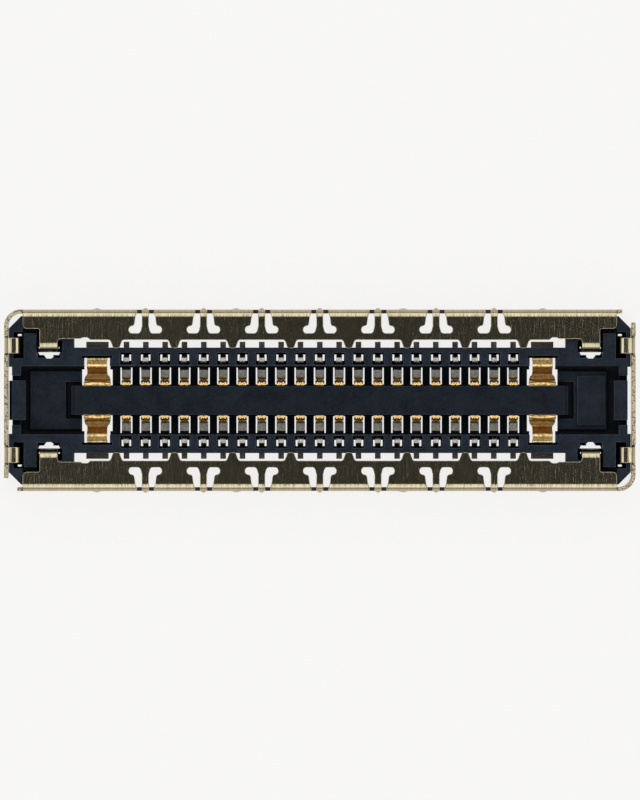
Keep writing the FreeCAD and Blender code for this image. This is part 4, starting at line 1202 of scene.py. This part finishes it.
def power_material(settings):
    """Gilded strip with a brown mottle, darker lower down as painted shade, and with nickel-coloured
    tails darkened as painted shade.
    """
    material, nodes, shader, place = new_material("Gilded strip")
    spot = nodes.add("ShaderNodeSeparateXYZ", {0: place})
    patches = mottle(nodes, place, grain=0.05)
    full = nodes.tint(patches, settings.gold, start=0.3, end=1.25)
    # painted shade: the lower parts get a darker gold than the upper ones
    shaded_gold = nodes.tint(patches, settings.gold, start=0.35, end=1.0)
    gold = nodes.mix(nodes.zone(spot["Z"], LOW_GOLD_SHADE), shaded_gold, full)
    tail = nodes.zone(nodes.math("ABSOLUTE", spot["Y"]), SHADED_TAIL)
    # painted shade: the tails take the nickel colour, darkened to a small share of it
    colour = nodes.mix(tail, gold, shade(settings.nickel, TAIL_SHADE))
    rough = nodes.spread(patches, 0, 1, start=0.36, end=0.26)
    set_surface(nodes, shader, colour, rough, mottle(nodes, place, grain=0.026), depth=0.0018)
    return material


# the stage, with its sizes and places in millimetres
FLOOR_SIZE = 1200.0
FLOOR_PARTS = 8
FLOOR_DROP = 0.002
FLOOR_GLOW = 0.90
# how far beside the origin the photo's middle lies
PHOTO_SHIFT = (0.0036, 0.0054)
SENSOR = 36.0
LAMP_HEIGHT = 40.0
LAMP_DISTANCE = 40.0
LONG_LAMP = (80.0, 52.0)
SHORT_LAMP = (30.0, 52.0)
DIM_SKY = (0.022, 0.025, 0.028, 1)
PALE_SKY = (0.42, 0.42, 0.42, 1)
# how upward a direction is where the dim ceiling ends, and where the pale wall is in full
WALL_RISE = (0.96, 0.60)
CLIP_RATIO = 20


def floor_material(settings):
    """Pale floor that keeps the object's shadow and looks pale through its openings."""
    material, nodes, shader = new_material("Pale floor")[:3]
    path = nodes.add("ShaderNodeLightPath")
    seen = nodes.math("ADD", path["Is Camera Ray"], path["Is Glossy Ray"])
    seen = nodes.math("ADD", seen, path["Is Transmission Ray"])
    values = {
        "Base Color": shade(settings.floor, 1 - FLOOR_GLOW),
        "Roughness": 0.9,
        "Specular IOR Level": 0.0,
        "Emission Color": nodes.tint(seen, settings.floor, start=0.0, end=FLOOR_GLOW),
        "Emission Strength": 1.0,
    }
    nodes.fill(shader, values)
    return material


def make_world():
    """A room with pale walls and a dim ceiling."""
    world = bpy.data.worlds.new("Pale room")
    bpy.context.scene.world = world
    world.use_nodes = True
    nodes = Nodes(world.node_tree)
    direction = nodes.add("ShaderNodeTexCoord")["Generated"]
    height = nodes.add("ShaderNodeSeparateXYZ", {0: direction})["Z"]
    wall = nodes.spread(height, *WALL_RISE)
    background = world.node_tree.nodes["Background"].inputs
    nodes.fill(background, {"Color": nodes.mix(wall, DIM_SKY, PALE_SKY)})


def add_lamp(name, place, size, radiance):
    """A soft lamp that faces the object."""
    light = bpy.data.lights.new(name, "AREA")
    light.shape = "RECTANGLE"
    light.size = size[0] * MM
    light.size_y = size[1] * MM
    light.energy = radiance * math.pi * light.size * light.size_y
    lamp = bpy.data.objects.new(name, light)
    bpy.context.scene.collection.objects.link(lamp)
    lamp.location = place * MM
    lamp.rotation_euler = (-place).to_track_quat("-Z", "Y").to_euler()


def make_stage(settings):
    """Floor, room, lamps and a camera that looks straight down."""
    form = bmesh.new()
    half = FLOOR_SIZE / 2 * MM
    bmesh.ops.create_grid(form, x_segments=FLOOR_PARTS, y_segments=FLOOR_PARTS, size=half)
    mesh = form_mesh(form, "floor")
    mesh.transform(Matrix.Translation((0, 0, -FLOOR_DROP * MM)))
    mesh.materials.append(floor_material(settings))
    new_object("floor", mesh)
    make_world()
    for side in (-1, 1):
        across = Vector((0, side * LAMP_DISTANCE, LAMP_HEIGHT))
        add_lamp(f"long_lamp_{side}", across, LONG_LAMP, settings.lamp_radiance)
        endwise = Vector((side * LAMP_DISTANCE, 0, LAMP_HEIGHT))
        add_lamp(f"short_lamp_{side}", endwise, SHORT_LAMP, settings.lamp_radiance)
    lens = bpy.data.cameras.new("camera")
    camera = bpy.data.objects.new("camera", lens)
    bpy.context.scene.collection.objects.link(camera)
    top = SHELL_TOP * MM
    camera.location = (PHOTO_SHIFT[0] * MM, PHOTO_SHIFT[1] * MM, settings.camera_distance)
    lens.sensor_fit = "HORIZONTAL"
    lens.sensor_width = SENSOR
    lens.lens = SENSOR * (settings.camera_distance - top) / settings.view_width
    lens.clip_start = settings.camera_distance / CLIP_RATIO
    lens.clip_end = settings.camera_distance * CLIP_RATIO
    bpy.context.scene.camera = camera
    bpy.context.scene.view_settings.view_transform = "Standard"


class CONNECTOR_OT_housing(bpy.types.Operator):
    """Make the moulded housing"""

    bl_idname = "connector.housing"
    bl_label = "Moulded housing"

    def execute(self, context):
        make_housing(context.scene.connector_moulding)
        return {"FINISHED"}


class CONNECTOR_OT_shell(bpy.types.Operator):
    """Make both stamped shell halves"""

    bl_idname = "connector.shell"
    bl_label = "Stamped shell"

    def execute(self, context):
        make_shell(context.scene.connector_shell)
        return {"FINISHED"}


class CONNECTOR_OT_signal_contacts(bpy.types.Operator):
    """Make both rows of signal contacts"""

    bl_idname = "connector.signal_contacts"
    bl_label = "Signal contacts"

    def execute(self, context):
        make_signal_contacts(context.scene.connector_contacts)
        return {"FINISHED"}


class CONNECTOR_OT_power_contacts(bpy.types.Operator):
    """Make the four power contacts"""

    bl_idname = "connector.power_contacts"
    bl_label = "Power contacts"

    def execute(self, context):
        make_power_contacts(context.scene.connector_contacts)
        return {"FINISHED"}


class CONNECTOR_OT_stage(bpy.types.Operator):
    """Make the floor, the lamps and the camera"""

    bl_idname = "connector.stage"
    bl_label = "Stage"

    def execute(self, context):
        make_stage(context.scene.connector_stage)
        return {"FINISHED"}


class CONNECTOR_PT_panel(bpy.types.Panel):
    """Lists the connector's settings and its operators"""

    bl_idname = "CONNECTOR_PT_panel"
    bl_label = "Shielded connector"
    bl_space_type = "VIEW_3D"
    bl_region_type = "UI"
    bl_category = "Connector"

    def draw(self, context):
        for name in SETTINGS:
            group = getattr(context.scene, name)
            box = self.layout.box()
            for key in group.__annotations__:
                box.prop(group, key)
        for operator in OPERATORS:
            self.layout.operator(operator.bl_idname)


SETTINGS = {
    "connector_moulding": MouldingSettings,
    "connector_shell": ShellSettings,
    "connector_contacts": ContactSettings,
    "connector_stage": StageSettings,
}
OPERATORS = (
    CONNECTOR_OT_housing,
    CONNECTOR_OT_shell,
    CONNECTOR_OT_signal_contacts,
    CONNECTOR_OT_power_contacts,
    CONNECTOR_OT_stage,
)


def register():
    """Registers the settings, the operators and the panel."""
    for name, group in SETTINGS.items():
        bpy.utils.register_class(group)
        setattr(bpy.types.Scene, name, PointerProperty(type=group))
    for operator in OPERATORS:
        bpy.utils.register_class(operator)
    bpy.utils.register_class(CONNECTOR_PT_panel)


def unregister():
    """Takes away what register added."""
    bpy.utils.unregister_class(CONNECTOR_PT_panel)
    for operator in reversed(OPERATORS):
        bpy.utils.unregister_class(operator)
    for name, group in SETTINGS.items():
        delattr(bpy.types.Scene, name)
        bpy.utils.unregister_class(group)


def main():
    """Makes every piece and the stage."""
    register()
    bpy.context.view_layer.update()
    bpy.ops.connector.housing()
    bpy.ops.connector.shell()
    bpy.ops.connector.signal_contacts()
    bpy.ops.connector.power_contacts()
    bpy.ops.connector.stage()


if __name__ == "__main__":
    main()
